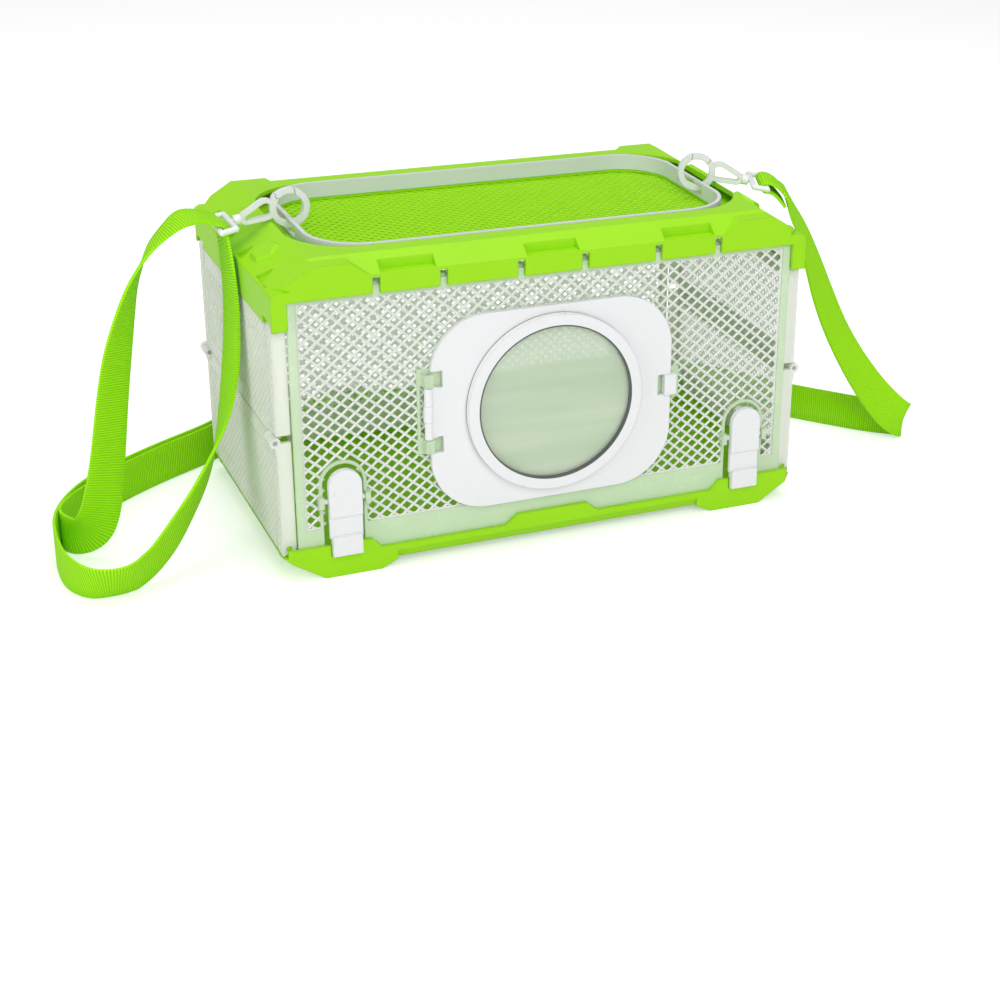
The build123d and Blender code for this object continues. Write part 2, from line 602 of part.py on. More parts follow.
def left_upper_panel():
    """Upper half of the left end wall, with knuckles open at the top."""
    low = MID_AXIS_Z + FOLD_GAP / 2
    panel = end_panel(low, TOP_AXIS_Z, UPPER_NET) - stub_gap((TOP_AXIS_Z - 7, 200))
    clear = MID_KNUCKLE_RADIUS + 0.6
    panel -= mid_gap(LOWER_MID_START, (0, MID_AXIS_Z + clear))
    web = box((-MID_AXIS_X, -PANEL_OUTER_X + PANEL_SKIN),
              (UPPER_MID_START, UPPER_MID_START + MID_KNUCKLE_LENGTH), (low, low + 6))
    panel += both_sides(web)
    start = PANEL_HALF_WIDTH - KNUCKLE_LENGTH
    disc = rod((-END_AXIS_X, start, TOP_AXIS_Z), (0, 1, 0), KNUCKLE_RADIUS, KNUCKLE_LENGTH)
    panel = panel - both_sides(disc) - both_sides(rod((-MID_AXIS_X, UPPER_MID_START, MID_AXIS_Z), (0, 1, 0),
                                                      MID_KNUCKLE_RADIUS, MID_KNUCKLE_LENGTH))
    bore = PIN_RADIUS + PIN_CLEARANCE
    open_top = knuckle(END_AXIS_X, TOP_AXIS_Z, KNUCKLE_RADIUS, start, KNUCKLE_LENGTH, bore)
    open_top -= box((-END_AXIS_X - bore, -END_AXIS_X + 5), (start - 1, PANEL_HALF_WIDTH + 1),
                    (TOP_AXIS_Z, 140))
    panel += both_sides(open_top)
    return panel + mid_knuckle(UPPER_MID_START, MID_PIN_RADIUS + PIN_CLEARANCE)


def left_mid_pins():
    """The two short pins at the left end wall's fold."""
    length = 2 * MID_KNUCKLE_LENGTH + GAP
    return both_sides(rod((-MID_AXIS_X, UPPER_MID_START, MID_AXIS_Z), (0, 1, 0), MID_PIN_RADIUS, length))


def latch_slot(x, grow=0):
    """Arched outline for a latch in a wall, open at the wall's lower edge."""
    half = LATCH_SLOT_HALF + grow
    spring = LATCH_SLOT_TOP - LATCH_SLOT_HALF
    return Pos(x, spring / 2) * Rectangle(2 * half, spring) + Pos(x, spring) * Circle(half)


def wall_outline(top, bracket_top):
    """A wall's outline with its latch slots and the steps that clear the hinge brackets."""
    shape = Pos(0, (WALL_BOTTOM + top) / 2) * Rectangle(2 * WALL_HALF_LENGTH, top - WALL_BOTTOM)
    for x in BRACKET_CENTRES:
        shape -= Pos(x, bracket_top + 10) * Rectangle(BRACKET_WIDTH + 2, 20)
    for x in (-LATCH_X, LATCH_X):
        shape -= latch_slot(x)
    return shape


def net_region(high, with_door):
    """Where a wall is net, inside its borders, latch arches and door surround."""
    half = WALL_HALF_LENGTH - WALL_SIDE_BORDER
    shape = Pos(0, (WALL_NET_BOTTOM + high) / 2) * Rectangle(2 * half, high - WALL_NET_BOTTOM)
    for x in (-LATCH_X, LATCH_X):
        shape -= latch_slot(x, ARCH_RIM)
        shape -= Pos(x, LATCH_PIVOT_Z) * Rectangle(2 * (LATCH_SLOT_HALF + LATCH_LUG), LUG_BLOCK_HEIGHT)
    if with_door:
        low, top = DOOR_OPENING_BOTTOM - DOOR_RIM, DOOR_OPENING_TOP + DOOR_RIM
        shape -= Pos(0, (low + top) / 2) * RectangleRounded(
            2 * (DOOR_OPENING_HALF_WIDTH + DOOR_RIM), top - low, DOOR_OPENING_CORNER + DOOR_RIM)
        shape -= Pos(-HINGE_SURROUND / 2, (DOOR_KNUCKLE_BOTTOM + DOOR_KNUCKLE_TOP) / 2) * Rectangle(
            HINGE_SURROUND, DOOR_KNUCKLE_TOP - DOOR_KNUCKLE_BOTTOM + 2 * LUG_HEIGHT + 4)
        shape -= Pos(CATCH_SURROUND / 2, (CATCH_BOTTOM + CATCH_TOP) / 2) * Rectangle(CATCH_SURROUND, 16)
    return shape


def near_latch(u, v):
    """Whether a gap of the net would run into a latch arch."""
    margin = NET_PITCH / 2 + ARCH_RIM
    return abs(abs(u) - LATCH_X) < LATCH_SLOT_HALF + margin and v < LATCH_SLOT_TOP + margin


def near_door(u, v):
    """Whether a gap of the net would run behind the door's plate."""
    reach = DOOR_OPENING_HALF_WIDTH + DOOR_RIM + NET_PITCH / 2
    if CATCH_BOTTOM - 20 < v < DOOR_KNUCKLE_TOP + 18:
        reach = HINGE_SURROUND + NET_PITCH / 2
    low, top = DOOR_OPENING_BOTTOM - DOOR_RIM, DOOR_OPENING_TOP + DOOR_RIM
    return abs(u) < reach and low - NET_PITCH / 2 < v < top + NET_PITCH / 2


def wall_net(high, with_door):
    """The net of a wall, hung at -Y."""
    plane = front_plane(-WALL_INNER_Y)
    face = (plane * net_region(high, with_door)).faces()[0]
    limits = (-WALL_HALF_LENGTH + WALL_SIDE_BORDER, WALL_HALF_LENGTH - WALL_SIDE_BORDER)
    centres = diamond_centres(limits, (WALL_NET_BOTTOM, high),
                              lambda u, v: not near_latch(u, v) and not (with_door and near_door(u, v)))
    return holed_plate(plane, face, centres, WALL_THICKNESS)


def wall_lugs(outer_y):
    """Lugs beside each latch slot that hold the latch's nubs."""
    lugs = []
    for x in (-LATCH_X, LATCH_X):
        for side in (-1, 1):
            inner = x + side * LATCH_SLOT_HALF
            reach = sorted((inner, inner + side * LATCH_LUG))
            lugs.append(box(reach, (-outer_y, -WALL_INNER_Y),
                            (LATCH_PIVOT_Z - LUG_BLOCK_HEIGHT / 2, LATCH_PIVOT_Z + LUG_BLOCK_HEIGHT / 2)))
    return lugs


def nub_bores():
    """Bores along X through the lugs and the wall's edge for the latches' nubs."""
    reach = LATCH_SLOT_HALF + LATCH_LUG
    start = (-reach, -LATCH_PIVOT_Y, LATCH_PIVOT_Z)
    bore = rod(start, (1, 0, 0), NUB_RADIUS + PIN_CLEARANCE, 2 * reach)
    return [Pos(x) * bore for x in (-LATCH_X, LATCH_X)]


def barrels(axis_y, axis_z, radius, plate_y):
    """Hinge barrels of a wall hung at -Y, each with the web that joins it to the plate."""
    made = []
    for x in SLOT_CENTRES:
        reach = (x - BARREL_WIDTH / 2, x + BARREL_WIDTH / 2)
        web = box(reach, (-plate_y, -axis_y), (axis_z - radius - 1.5, axis_z))
        barrel = web + rod((reach[0], -axis_y, axis_z), (1, 0, 0), radius, BARREL_WIDTH)
        bore = rod((reach[0] - 1, -axis_y, axis_z), (1, 0, 0), HINGE_ROD_RADIUS + PIN_CLEARANCE,
                   BARREL_WIDTH + 2)
        made.append(barrel - bore)
    return made


def rod_hole(axis_y, axis_z):
    """The hinge rod's clearance along a whole wall."""
    return rod((-100, -axis_y, axis_z), (1, 0, 0), HINGE_ROD_RADIUS + PIN_CLEARANCE, 200)


def front_wall():
    """Clear frame of the front wall: borders, door opening, latch arches, lugs and barrels."""
    plane = front_plane(-WALL_INNER_Y)
    shape = wall_outline(FRONT_AXIS_Z + 0.5, FRONT_AXIS_Z - 3.7)
    shape -= Pos(0, (DOOR_OPENING_BOTTOM + DOOR_OPENING_TOP) / 2) * RectangleRounded(
        2 * DOOR_OPENING_HALF_WIDTH, DOOR_OPENING_TOP - DOOR_OPENING_BOTTOM, DOOR_OPENING_CORNER)
    knuckle_middle = (DOOR_KNUCKLE_BOTTOM + DOOR_KNUCKLE_TOP) / 2
    shape -= Pos(DOOR_AXIS_X - HINGE_SLOT_WIDTH / 2, knuckle_middle) * Rectangle(
        HINGE_SLOT_WIDTH, DOOR_KNUCKLE_TOP - DOOR_KNUCKLE_BOTTOM)
    wall = extrude(plane * (shape - net_region(FRONT_NET_TOP, True)), WALL_THICKNESS)
    wall += barrels(FRONT_AXIS_Y, FRONT_AXIS_Z, FRONT_BARREL_RADIUS, WALL_OUTER_Y)
    wall += wall_lugs(LUG_OUTER_Y)
    return wall + door_lugs() - rod_hole(FRONT_AXIS_Y, FRONT_AXIS_Z) - nub_bores()


def door_lugs():
    """Two clear lugs on the front wall that hold the door's hinge pin."""
    lugs = []
    for low in (DOOR_KNUCKLE_BOTTOM - GAP - LUG_HEIGHT, DOOR_KNUCKLE_TOP + GAP):
        reach = (DOOR_AXIS_X - 2.2, DOOR_AXIS_X + 2.2)
        lug = box(reach, (-DOOR_AXIS_Y - 2.0, -WALL_OUTER_Y + 0.2), (low, low + LUG_HEIGHT))
        bore = rod((DOOR_AXIS_X, -DOOR_AXIS_Y, low - 1), (0, 0, 1), DOOR_PIN_RADIUS, LUG_HEIGHT + 2)
        lugs.append(lug - bore)
    return lugs


def back_wall():
    """Clear frame of the back wall: borders, latch arches, lugs and barrels."""
    plane = front_plane(-WALL_INNER_Y)
    shape = wall_outline(BACK_AXIS_Z + 0.8, BACK_AXIS_Z - 3.6)
    wall = extrude(plane * (shape - net_region(BACK_NET_TOP, False)), WALL_THICKNESS)
    wall += barrels(BACK_AXIS_Y, BACK_AXIS_Z, BACK_BARREL_RADIUS, WALL_CENTRE_Y)
    wall += wall_lugs(LUG_OUTER_Y)
    return mirror(wall - rod_hole(BACK_AXIS_Y, BACK_AXIS_Z) - nub_bores(), Plane.XZ)


def hinge_rod(y, z):
    """Rod through the barrels of a wall and the roof frame's brackets."""
    reach = SLOT_CENTRES[-1] + BARREL_WIDTH
    return rod((-reach, y, z), (1, 0, 0), HINGE_ROD_RADIUS, 2 * reach)


def door_plate():
    """White door plate with its round window, hinge knuckle and catch notch."""
    plate = rounded_plate(front_plane(-DOOR_BACK_Y), DOOR_HALF_WIDTH, DOOR_BOTTOM, DOOR_TOP, DOOR_CORNER,
                          DOOR_THICKNESS)
    plate -= rod((0, -DOOR_BACK_Y + 1, BEZEL_CENTRE_Z), (0, -1, 0), LENS_RADIUS - 0.3, 10)
    for low in (DOOR_KNUCKLE_BOTTOM - GAP - LUG_HEIGHT, DOOR_KNUCKLE_TOP + GAP):
        notch = (low - 0.8, low + LUG_HEIGHT + 0.8)
        plate -= box((-DOOR_HALF_WIDTH - 1, DOOR_AXIS_X + 7), (-80, -60), notch)
    catch = (DOOR_HALF_WIDTH - CATCH_REACH - CATCH_HOLE, DOOR_HALF_WIDTH + 1)
    plate -= box(catch, (-80, -60), (CATCH_BOTTOM, CATCH_TOP))
    start = (DOOR_AXIS_X, -DOOR_AXIS_Y, DOOR_KNUCKLE_BOTTOM)
    height = DOOR_KNUCKLE_TOP - DOOR_KNUCKLE_BOTTOM
    leaf = box((DOOR_AXIS_X, -DOOR_HALF_WIDTH + 3), (-DOOR_FRONT_Y, -DOOR_FRONT_Y + 1.6),
               (DOOR_KNUCKLE_BOTTOM, DOOR_KNUCKLE_TOP))
    plate += rod(start, (0, 0, 1), DOOR_KNUCKLE_RADIUS, height) + leaf
    below = (DOOR_AXIS_X, -DOOR_AXIS_Y, DOOR_KNUCKLE_BOTTOM - 1)
    return plate - rod(below, (0, 0, 1), DOOR_PIN_RADIUS + PIN_CLEARANCE, height + 2)


def door_hinge_pin():
    """Pin through the door's knuckle and the wall's two lugs."""
    low = DOOR_KNUCKLE_BOTTOM - GAP - LUG_HEIGHT
    high = DOOR_KNUCKLE_TOP + GAP + LUG_HEIGHT
    return rod((DOOR_AXIS_X, -DOOR_AXIS_Y, low), (0, 0, 1), DOOR_PIN_RADIUS, high - low)


def door_hinge_clip():
    """Small clip wrapped round the middle of the door's knuckle."""
    middle = (DOOR_KNUCKLE_BOTTOM + DOOR_KNUCKLE_TOP) / 2
    start = (DOOR_AXIS_X, -DOOR_AXIS_Y, middle - 4)
    clip = rod(start, (0, 0, 1), DOOR_KNUCKLE_RADIUS + CLIP_THICKNESS, 8)
    clip -= rod(start, (0, 0, 1), DOOR_KNUCKLE_RADIUS, 8)
    return clip & box((DOOR_AXIS_X - 5, DOOR_AXIS_X + 1.5), (-90, -DOOR_AXIS_Y + 0.4), (0, 200))


def door_catch():
    """Catch tab at the free edge of the door, in the plate's notch."""
    return box((DOOR_HALF_WIDTH - CATCH_REACH, DOOR_HALF_WIDTH + 2.6),
               (-DOOR_FRONT_Y - 1.4, -DOOR_BACK_Y - 0.4), (CATCH_BOTTOM, CATCH_TOP))


def door_bezel():
    """Raised white ring that holds the lens against the door plate."""
    front = -DOOR_FRONT_Y
    ring = rod((0, front, BEZEL_CENTRE_Z), (0, -1, 0), BEZEL_RADIUS, BEZEL_HEIGHT)
    ring -= rod((0, front + 1, BEZEL_CENTRE_Z), (0, -1, 0), LENS_RADIUS, BEZEL_HEIGHT + 2)
    ring -= rod((0, front, BEZEL_CENTRE_Z), (0, -1, 0), LENS_RADIUS + LENS_RIM + 0.05, LENS_THICKNESS)
    return ring


def door_lens():
    """Clear round window."""
    return rod((0, -DOOR_FRONT_Y, BEZEL_CENTRE_Z), (0, -1, 0), LENS_RADIUS + LENS_RIM, LENS_THICKNESS)


def latch():
    """White latch lever at -Y and +X: paddle above, block below, nubs at its sides."""
    half = PADDLE_WIDTH / 2
    plane = front_plane(-PADDLE_INNER_Y)
    round_z = PADDLE_TOP - half
    face = Pos(LATCH_X, (BLOCK_TOP + round_z) / 2) * Rectangle(PADDLE_WIDTH, round_z - BLOCK_TOP)
    face += Pos(LATCH_X, round_z) * Circle(half)
    lever = extrude(plane * face, PADDLE_OUTER_Y - PADDLE_INNER_Y)
    lever -= box((LATCH_X - half - 1, LATCH_X + half + 1), (-PADDLE_OUTER_Y - 1, -PADDLE_OUTER_Y + PAD_RISE),
                 (BLOCK_TOP, LATCH_PIVOT_Z - PAD_DROP))
    block = (LATCH_X - BLOCK_WIDTH / 2, LATCH_X + BLOCK_WIDTH / 2)
    lever += box(block, (-BLOCK_OUTER_Y, -HALF_DEPTH - GAP), (BLOCK_BOTTOM, BLOCK_TOP + 1))
    lever += box(block, (-BLOCK_OUTER_Y, -PADDLE_INNER_Y), (RIM_TAB_TOP + BLOCK_OVER_RIM, BLOCK_TOP + 1))
    hub = rod((LATCH_X - half, -LATCH_PIVOT_Y, LATCH_PIVOT_Z), (1, 0, 0), 1.8, PADDLE_WIDTH)
    reach = LATCH_SLOT_HALF + LATCH_LUG - 0.4
    nubs = rod((LATCH_X - reach, -LATCH_PIVOT_Y, LATCH_PIVOT_Z), (1, 0, 0), NUB_RADIUS, 2 * reach)
    return lever + hub + nubs


def gate_sector(gap):
    """The part of the hook's round end that the gate fills, less a gap at both its ends."""
    reach = 3 * HOOK_RING_RADIUS
    angle = radians(GATE_START)
    tip = GATE_TIP_X + gap
    return make_face(Polyline((tip, 0), (0, 2 * gap), (reach * cos(angle), reach * sin(angle) + gap),
                              (tip, reach), close=True))


def gate_pivot():
    """The gate's pivot on the hook's own plane."""
    angle = radians(GATE_START)
    return Pos(HOOK_RING_RADIUS * cos(angle), HOOK_RING_RADIUS * sin(angle))


def eye_outline(inset):
    """Pear-shaped outline of the hook's eye, drawn in by an inset."""
    wide = Pos(EYE_WIDE_X, EYE_RISE) * Circle(EYE_WIDE_RADIUS - inset)
    narrow = Pos(EYE_NARROW_X, 0) * Circle(EYE_NARROW_RADIUS - inset)
    return make_hull(wide.edges() + narrow.edges())


def hook_body():
    """Snap hook: a round end, an eye with a finger hole and a swivel socket."""
    plane = front_plane(HOOK_THICKNESS / 2)
    ring = Circle(HOOK_RING_RADIUS + HOOK_WIRE) - Circle(HOOK_RING_RADIUS - HOOK_WIRE) - gate_sector(0)
    ring -= gate_pivot() * Circle(HOOK_WIRE + GAP)
    eye = eye_outline(0) - eye_outline(EYE_WALL) - Circle(HOOK_RING_RADIUS)
    body = extrude(plane * (ring + eye), HOOK_THICKNESS)
    socket_x = EYE_END_X - 0.6
    socket = rod((socket_x, 0, 0), (1, 0, 0), SOCKET_RADIUS, SOCKET_LENGTH)
    bore = rod((socket_x - 3, 0, 0), (1, 0, 0), SWIVEL_PIN_RADIUS + PIN_CLEARANCE, SOCKET_LENGTH + 4)
    return body + socket - bore


def hook_gate():
    """Springy gate that closes the hook's round end."""
    plane = front_plane(GATE_THICKNESS / 2)
    ring = Circle(HOOK_RING_RADIUS + HOOK_WIRE - 0.1) - Circle(HOOK_RING_RADIUS - HOOK_WIRE + 0.1)
    shape = (ring & gate_sector(GAP)) + gate_pivot() * Circle(HOOK_WIRE)
    return extrude(plane * shape, GATE_THICKNESS)


def swivel_loop():
    """D-shaped loop that holds the webbing, with the pin of its swivel."""
    narrow = LOOP_HALF - LOOP_TAPER
    far = rod((LOOP_BAR_X, -LOOP_HALF, 0), (0, 1, 0), LOOP_WIRE, 2 * LOOP_HALF)
    near = rod((LOOP_NEAR_X, -narrow, 0), (0, 1, 0), LOOP_WIRE, 2 * narrow)
    loop = far + near
    for side in (-1, 1):
        start = Vector(LOOP_NEAR_X, side * narrow, 0)
        end = Vector(LOOP_BAR_X, side * LOOP_HALF, 0)
        loop += rod(start, end - start, LOOP_WIRE, (end - start).length)
        loop += Pos(*start) * Sphere(LOOP_WIRE) + Pos(*end) * Sphere(LOOP_WIRE)
    pin_x = EYE_END_X - 2.4
    return loop + rod((pin_x, 0, 0), (1, 0, 0), SWIVEL_PIN_RADIUS, LOOP_NEAR_X - pin_x)


LEFT_HOOK = Pos(-HOOK_X, 0, HOOK_Z) * Rot(0, 0, 180) * Rot(0, HOOK_SLOPE, 0)
RIGHT_HOOK = Pos(HOOK_X, -RIGHT_HOOK_Y, HOOK_Z) * Rot(0, 0, -RIGHT_HOOK_YAW) * Rot(0, HOOK_SLOPE, 0)


def bar_turn(hook, out, angles):
    """Points of the webbing round a loop's bar, with the bar's direction as its width."""
    bar = (hook * Pos(LOOP_BAR_X, 0, 0)).position
    across_bar = Plane(hook).y_dir
    outward = Vector(*out)
    radius = LOOP_WIRE + WEB_THICKNESS / 2 + 0.5
    points = []
    for angle in angles:
        spot = bar + outward * (radius * cos(radians(angle))) + Vector(0, 0, radius * sin(radians(angle)))
        points.append((tuple(spot), tuple(across_bar)))
    return points


def beside_bar(hook, out, steps):
    """Points near a loop's bar, as distances outward and up from the bar."""
    bar = (hook * Pos(LOOP_BAR_X, 0, 0)).position
    across_bar = Plane(hook).y_dir
    return [(tuple(bar + Vector(*out) * u + Vector(0, 0, v)), tuple(across_bar)) for u, v in steps]


# The webbing's centre line, from the sewn end at the right loop to the slider behind the
# cage, and the direction of its width at each point
EDGE = (0, 0, 1)
RIGHT_OUT = (cos(radians(RIGHT_HOOK_YAW)), -sin(radians(RIGHT_HOOK_YAW)), 0)
LEFT_OUT = (-1, 0, 0)
RIGHT_STRAND = [
    ((151.5, -20, 141), (0.5, 0.86, 0)), ((160.5, -19.5, 126), (0.66, 0.72, -0.15)),
    ((167.5, -20, 109), (0.76, 0.62, -0.12)), ((175.5, -20.5, 88), (0.85, 0.52, -0.02)),
    ((185.5, -21, 66.5), (0.87, 0.49, 0.06)), ((197, -22.5, 47), (0.88, 0.42, 0.22)),
    ((209.5, -25, 29), (0.86, 0.28, 0.42)), ((221, -27, 16.5), (0.6, 0.1, 0.79)),
    ((228.5, -26.5, 11.3), (0.3, -0.1, 0.95)), ((230.5, -22.5, 10.5), (0.05, -0.05, 1)),
    ((225, -18, 10.2), EDGE), ((214, -9.5, 10.2), EDGE), ((199, 7, 10.2), EDGE),
    ((184, 24, 10.2), EDGE), ((167, 48, 10.2), EDGE), ((148, 75, 10.2), EDGE),
    ((127, 94, 10.2), EDGE), ((104, 101, 10.2), EDGE),
]
BACK_STRAND = [
    ((74, 103, 10.2), EDGE), ((40, 101, 10.2), EDGE), ((8, 96, 10.2), EDGE),
    ((-18, 92.4, 11.2), EDGE), ((-36, 92, 12.5), EDGE),
]
SLIDER_PASS = [
    ((8.4, -3.0, 12.6), EDGE), ((6.0, -0.6, 12.6), EDGE), ((4.4, 3.6, 12.6), EDGE),
    ((0, 5.4, 12.6), EDGE), ((-4.4, 3.6, 12.6), EDGE), ((-6.0, -0.6, 12.6), EDGE),
    ((-8.4, -3.0, 12.6), EDGE),
]
LEFT_OUTER = [
    ((-75, 94.6, 12.3), EDGE), ((-90, 99.6, 11.0), EDGE), ((-105, 101.6, 10.3), EDGE),
    ((-121, 93.5, 10.2), EDGE), ((-138, 81, 10.2), EDGE), ((-158, 70, 10.2), EDGE),
    ((-183, 54, 10.2), EDGE), ((-203, 38, 10.2), EDGE), ((-217, 19, 10.2), EDGE),
    ((-225, 0, 10.2), EDGE), ((-227.5, -20, 10.2), (0, -0.1, 0.99)),
    ((-227, -42, 10.1), (0, -0.25, 0.96)), ((-218, -58, 10.0), (-0.05, -0.42, 0.9)),
    ((-203, -60, 10.0), (-0.12, -0.5, 0.86)), ((-190, -50, 11.5), (-0.28, -0.54, 0.8)),
    ((-179, -42.5, 19), (-0.45, -0.62, 0.63)), ((-168, -33, 28), (-0.42, -0.75, 0.5)),
    ((-158.5, -25, 38), (-0.35, -0.82, 0.47)), ((-151, -19, 50), (-0.2, -0.9, 0.4)),
    ((-146, -16, 62), (0, -0.93, 0.36)), ((-142.5, -14.5, 74), (0.1, -0.93, 0.33)),
    ((-139.5, -13, 88), (0.15, -0.94, 0.3)), ((-137.5, -11.5, 104), (0.12, -0.96, 0.2)),
    ((-136.5, -10, 120), (0.08, -0.98, 0.1)), ((-136.3, -7, 134), (0.05, -1, 0.05)),
    ((-136.2, -3, 143), (0, -1, 0)),
]
LEFT_INNER = [
    ((-155, -1, 158.8), (-0.1, -0.97, -0.1)), ((-163, -2, 153.5), (-0.14, -0.98, 0)),
    ((-170, -2, 147), (-0.12, -0.98, 0.13)), ((-175, -2, 139), (-0.2, -0.93, 0.3)),
    ((-180, -2, 129), (-0.35, -0.88, 0.32)), ((-184.5, -2.5, 115), (-0.55, -0.78, 0.32)),
    ((-189.5, -3, 96), (-0.72, -0.62, 0.32)), ((-194, -5, 74), (-0.78, -0.54, 0.32)),
    ((-198, -8, 52), (-0.82, -0.47, 0.33)), ((-201.5, -11, 37), (-0.88, -0.38, 0.31)),
    ((-205, -13, 24), (-0.93, -0.2, 0.35)), ((-209.5, -11.5, 14.5), (-0.72, 0, 0.7)),
    ((-216, -6.5, 10.6), (-0.25, 0.1, 0.96)), ((-221.3, 1, 10.3), (0, 0.05, 1)),
    ((-220.5, 10, 10.2), EDGE), ((-212.5, 22, 10.2), EDGE), ((-199, 35, 10.2), EDGE),
    ((-181, 50.5, 10.2), EDGE), ((-157, 66.2, 10.2), EDGE), ((-137, 77.2, 10.2), EDGE),
    ((-120, 89.6, 10.3), EDGE), ((-105, 98.2, 10.6), EDGE), ((-91, 96.4, 11.4), EDGE),
    ((-76, 91.6, 12.4), EDGE),
]
SLIDER_END = [
    ((-6.6, -5.4, 12.6), EDGE), ((-3.6, -2.6, 12.6), EDGE), ((-3.0, 0, 12.6), EDGE),
    ((-2.2, 2.2, 12.6), EDGE), ((0, 2.9, 12.6), EDGE), ((2.2, 2.2, 12.6), EDGE),
    ((3.0, 0, 12.6), EDGE), ((2.6, -3.0, 12.6), EDGE), ((-0.6, -5.8, 12.6), EDGE),
    ((-6, -8.0, 12.6), EDGE), ((-12, -8.9, 12.6), EDGE),
]


def at_slider(points):
    """Route points given from the slider's middle."""
    return [((x + SLIDER_X, y + SLIDER_Y, z), width) for (x, y, z), width in points]


def web_route():
    """The whole route of the webbing, point by point."""
    route = beside_bar(RIGHT_HOOK, RIGHT_OUT, [(10.2, -10.2), (5.6, -4.4)])
    route += bar_turn(RIGHT_HOOK, RIGHT_OUT, (300, 245, 190, 135, 80))
    route += beside_bar(RIGHT_HOOK, RIGHT_OUT, [(5.4, 0.8), (10.4, -4.2)])
    route += RIGHT_STRAND + BACK_STRAND + at_slider(SLIDER_PASS) + LEFT_OUTER
    route += beside_bar(LEFT_HOOK, LEFT_OUT, [(-2.9, -5.4)])
    route += bar_turn(LEFT_HOOK, LEFT_OUT, (180, 140, 100))
    route += beside_bar(LEFT_HOOK, LEFT_OUT, [(3.6, 4.0), (8.4, 5.6)])
    return route + LEFT_INNER + at_slider(SLIDER_END)


WEB_ROUTE = web_route()


def web_sections():
    """Four corners of the webbing's section at each point of its route."""
    points = [Vector(*p) for p, _ in WEB_ROUTE]
    sections = []
    for n, (_, width) in enumerate(WEB_ROUTE):
        before, after = points[max(n - 1, 0)], points[min(n + 1, len(points) - 1)]
        run = (after - before).normalized()
        across_web = Vector(*width)
        across_web = (across_web - run * across_web.dot(run)).normalized() * (WEB_WIDTH / 2)
        thick = run.cross(across_web).normalized() * (WEB_THICKNESS / 2)
        middle = points[n]
        sections.append([middle - across_web - thick, middle + across_web - thick,
                         middle + across_web + thick, middle - across_web + thick])
    return sections


def triangle(a, b, c):
    """A flat face through three points."""
    return Face(Wire.make_polygon([a, b, c]))


def strap_webbing():
    """The whole webbing as one faceted ribbon."""
    sections = web_sections()
    faces = []
    for first, second in zip(sections, sections[1:]):
        for n in range(4):
            m = (n + 1) % 4
            faces += [triangle(first[n], first[m], second[m]), triangle(first[n], second[m], second[n])]
    for end in (sections[0], sections[-1]):
        faces += [triangle(end[0], end[1], end[2]), triangle(end[0], end[2], end[3])]
    return Solid(Shell(faces))


def web_length():
    """Length of the webbing's centre line."""
    points = [Vector(*p) for p, _ in WEB_ROUTE]
    return sum((b - a).length for a, b in zip(points, points[1:]))


def strap_slider():
    """Three-bar slider standing on edge behind the cage."""
    depth = (SLIDER_Y - SLIDER_THICKNESS / 2, SLIDER_Y + SLIDER_THICKNESS / 2)
    outer = (SLIDER_X - SLIDER_HALF_LENGTH, SLIDER_X + SLIDER_HALF_LENGTH)
    frame = box(outer, depth, (0, SLIDER_HEIGHT))
    for side in (-1, 1):
        inner = SLIDER_X + side * SLIDER_MIDDLE_BAR / 2
        far = SLIDER_X + side * (SLIDER_HALF_LENGTH - SLIDER_BAR)
        frame -= box(sorted((inner, far)), (SLIDER_Y - 9, SLIDER_Y + 9),
                     (SLIDER_RAIL, SLIDER_HEIGHT - SLIDER_RAIL))
    return frame


PARTS = {
    "base_tray": tray(),
    "top_frame": roof_frame(),
    "roof_carrier": roof_carrier(),
    "liner_ring": liner_ring(),
    "roof_mesh": roof_net(),
    "left_lower_panel": left_lower_panel(),
    "left_upper_panel": left_upper_panel(),
    "left_lower_net": end_net(*LOWER_NET),
    "left_upper_net": end_net(*UPPER_NET),
    "left_mid_pins": left_mid_pins(),
    "right_lower_panel": mirror(left_lower_panel(), Plane.YZ),
    "right_upper_panel": mirror(left_upper_panel(), Plane.YZ),
    "right_lower_net": mirror(end_net(*LOWER_NET), Plane.YZ),
    "right_upper_net": mirror(end_net(*UPPER_NET), Plane.YZ),
    "right_mid_pins": mirror(left_mid_pins(), Plane.YZ),
    "front_wall": front_wall(),
    "front_net": wall_net(FRONT_NET_TOP, True),
    "front_hinge_rod": hinge_rod(-FRONT_AXIS_Y, FRONT_AXIS_Z),
    "back_wall": back_wall(),
    "back_net": mirror(wall_net(BACK_NET_TOP, False), Plane.XZ),
    "back_hinge_rod": hinge_rod(BACK_AXIS_Y, BACK_AXIS_Z),
    "door_plate": door_plate(),
    "door_bezel": door_bezel(),
    "door_lens": door_lens(),
    "door_hinge_pin": door_hinge_pin(),
    "door_hinge_clip": door_hinge_clip(),
    "door_catch": door_catch(),
    "front_right_latch": latch(),
    "front_left_latch": mirror(latch(), Plane.YZ),
    "back_right_latch": mirror(latch(), Plane.XZ),
    "back_left_latch": mirror(mirror(latch(), Plane.XZ), Plane.YZ),
    "right_hook_body": RIGHT_HOOK * hook_body(),
    "right_hook_gate": RIGHT_HOOK * hook_gate(),
    "right_swivel_loop": RIGHT_HOOK * swivel_loop(),
    "left_hook_body": LEFT_HOOK * hook_body(),
    "left_hook_gate": LEFT_HOOK * hook_gate(),
    "left_swivel_loop": LEFT_HOOK * swivel_loop(),
    "strap_webbing": strap_webbing(),
    "strap_slider": strap_slider(),
}

os.makedirs("parts", exist_ok=True)
for name, solid in PARTS.items():
    export_step(solid, f"parts/{name}.step")
print(f"webbing length {web_length():.0f} mm, {len(PARTS)} nodes")
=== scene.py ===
"""Pop-up insect cage on a plain floor, with its shoulder strap."""
from math import cos, pi, radians, sin

